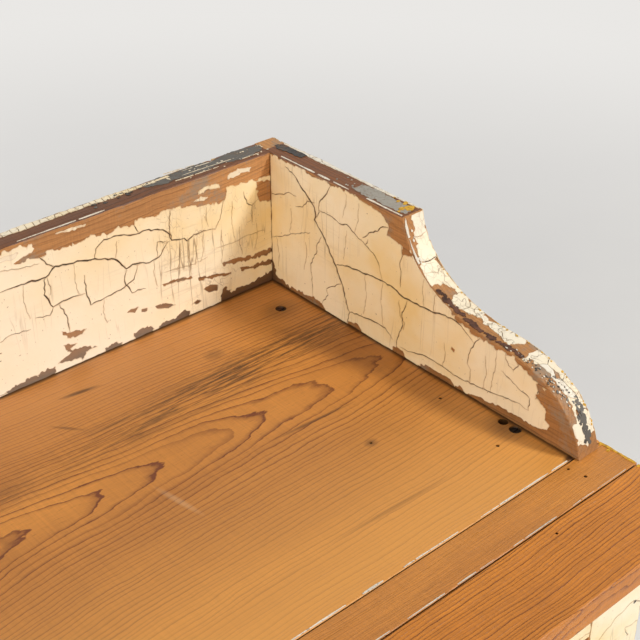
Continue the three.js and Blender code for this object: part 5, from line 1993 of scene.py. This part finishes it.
class SINK_OT_fittings(bpy.types.Operator):
    """Fit the hinges, the knobs, the turn button and its screw"""

    bl_idname = "sink.fittings"
    bl_label = "Fittings"

    def execute(self, context):
        iron = context.scene.sink_iron
        leaf_screws = {"cabinet": [], "door_left": [], "door_right": []}
        for side, other, mirror in (("left", "right", -1), ("right", "left", 1)):
            turned_knob(f"door_{side}")
            for place in ("lower", "upper"):
                for part in ("frame_leaf", "door_leaf", "pin"):
                    iron_piece(f"hinge_{part}_{side}_{place}", 0.2 if part != "pin" else 0.1)
                pin_low, pin_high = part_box(f"hinge_pin_{side}_{place}")
                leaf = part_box(f"hinge_frame_leaf_{side}_{place}")
                behind_pin, sunk, lowest, spacing = 11.95, 0.28, 6, 26
                x = (pin_low.x + pin_high.x) / 2 / MM
                y = (pin_low.y + pin_high.y) / 2 / MM + behind_pin
                for i in range(3):
                    z = leaf[0].z / MM + lowest + spacing * i
                    leaf_screws["cabinet"].append((x + mirror * sunk, y, z, other))
                    leaf_screws[f"door_{side}"].append((x - mirror * sunk, y, z, side))
        for body, places in leaf_screws.items():
            fasteners(f"leaf_screws_{body}", slotted_head_mesh(), iron.screw_head / MM, places, body=body)
        for side in ("left", "right"):
            for place in ("rear", "front"):
                iron_piece(f"top_screw_{side}_{place}")
        painted_board("turn_button", "zxy", 1.0)
        rubs = (0, 508, 9, 0.6), (0, 432, 9, 0.6)
        painted_face("turn_button", "front", 15, rubs, stretch=0.85, lift=420)
        iron_piece("turn_button_screw", 0.3)
        return {"FINISHED"}


class SINK_OT_nails(bpy.types.Operator):
    """Drive the cut nails of the top and the case"""

    bl_idname = "sink.nails"
    bl_label = "Nails"

    def execute(self, context):
        head, small_head, sunk = context.scene.sink_iron.nail_head / MM, 2.9, -1.6
        fasteners("case_nails", nail_head_mesh(), head, case_nail_places(), 0.2)
        fasteners("sunk_top_nails", nail_head_mesh(), small_head, top_nail_places(sunk), 0.15)
        return {"FINISHED"}


class SINK_OT_studio(bpy.types.Operator):
    """Set the floor, the soft lamps and the camera"""

    bl_idname = "sink.studio"
    bl_label = "Studio"

    def execute(self, context):
        studio = context.scene.sink_studio
        studio_floor(studio.floor)
        pale_room(studio.sky)
        area_lamp("key_lamp", studio.key_power, 0.6, (1.75, -1.8, 2.85), (0.4, 0, 0.8), "#fffbf6")
        area_lamp("fill_lamp", studio.fill_power, 2.4, (-2.4, -1.9, 1.9), (0, 0, 0.5), "#ffefd6")
        area_lamp("rear_lamp", studio.fill_power * 0.52, 2.4, (-0.6, 2.8, 1.8), (0, 0, 0.5), "#ffffff")
        camera = bpy.data.cameras.new("photo_camera")
        camera.lens = studio.lens
        camera.sensor_width = 36
        viewer = new_object("photo_camera", camera)
        axes = Matrix((CAMERA_RIGHT, CAMERA_UP, tuple(-c for c in CAMERA_AHEAD))).transposed().to_4x4()
        viewer.matrix_world = Matrix.Translation(CAMERA_PLACE) @ axes
        context.scene.camera = viewer
        context.scene.view_settings.view_transform = "Standard"
        return {"FINISHED"}


STEPS = (
    SINK_OT_finishes,
    SINK_OT_plank_top,
    SINK_OT_gallery,
    SINK_OT_case,
    SINK_OT_face_frame,
    SINK_OT_doors,
    SINK_OT_fittings,
    SINK_OT_nails,
    SINK_OT_studio,
)


class SINK_PT_panel(bpy.types.Panel):
    """The dry sink's steps and settings"""

    bl_label = "Dry Sink"
    bl_idname = "SINK_PT_panel"
    bl_space_type = "VIEW_3D"
    bl_region_type = "UI"
    bl_category = "Dry Sink"

    def draw(self, context):
        for step in STEPS:
            self.layout.operator(step.bl_idname)
        for name in SETTINGS:
            group = getattr(context.scene, name)
            for key in group.__annotations__:
                self.layout.prop(group, key)


SETTINGS = {
    "sink_pine": PineSettings,
    "sink_paint": PaintSettings,
    "sink_iron": IronSettings,
    "sink_studio": StudioSettings,
}


def register():
    for cls in (*SETTINGS.values(), *STEPS, SINK_PT_panel):
        bpy.utils.register_class(cls)
    for name, cls in SETTINGS.items():
        setattr(bpy.types.Scene, name, bpy.props.PointerProperty(type=cls))


def unregister():
    for name in SETTINGS:
        delattr(bpy.types.Scene, name)
    for cls in (SINK_PT_panel, *reversed(STEPS), *reversed(SETTINGS.values())):
        bpy.utils.unregister_class(cls)


def main():
    register()
    bpy.ops.sink.finishes()
    bpy.ops.sink.plank_top()
    bpy.ops.sink.gallery()
    bpy.ops.sink.case()
    bpy.ops.sink.face_frame()
    bpy.ops.sink.doors()
    bpy.ops.sink.fittings()
    bpy.ops.sink.nails()
    bpy.ops.sink.studio()


if __name__ == "__main__":
    main()
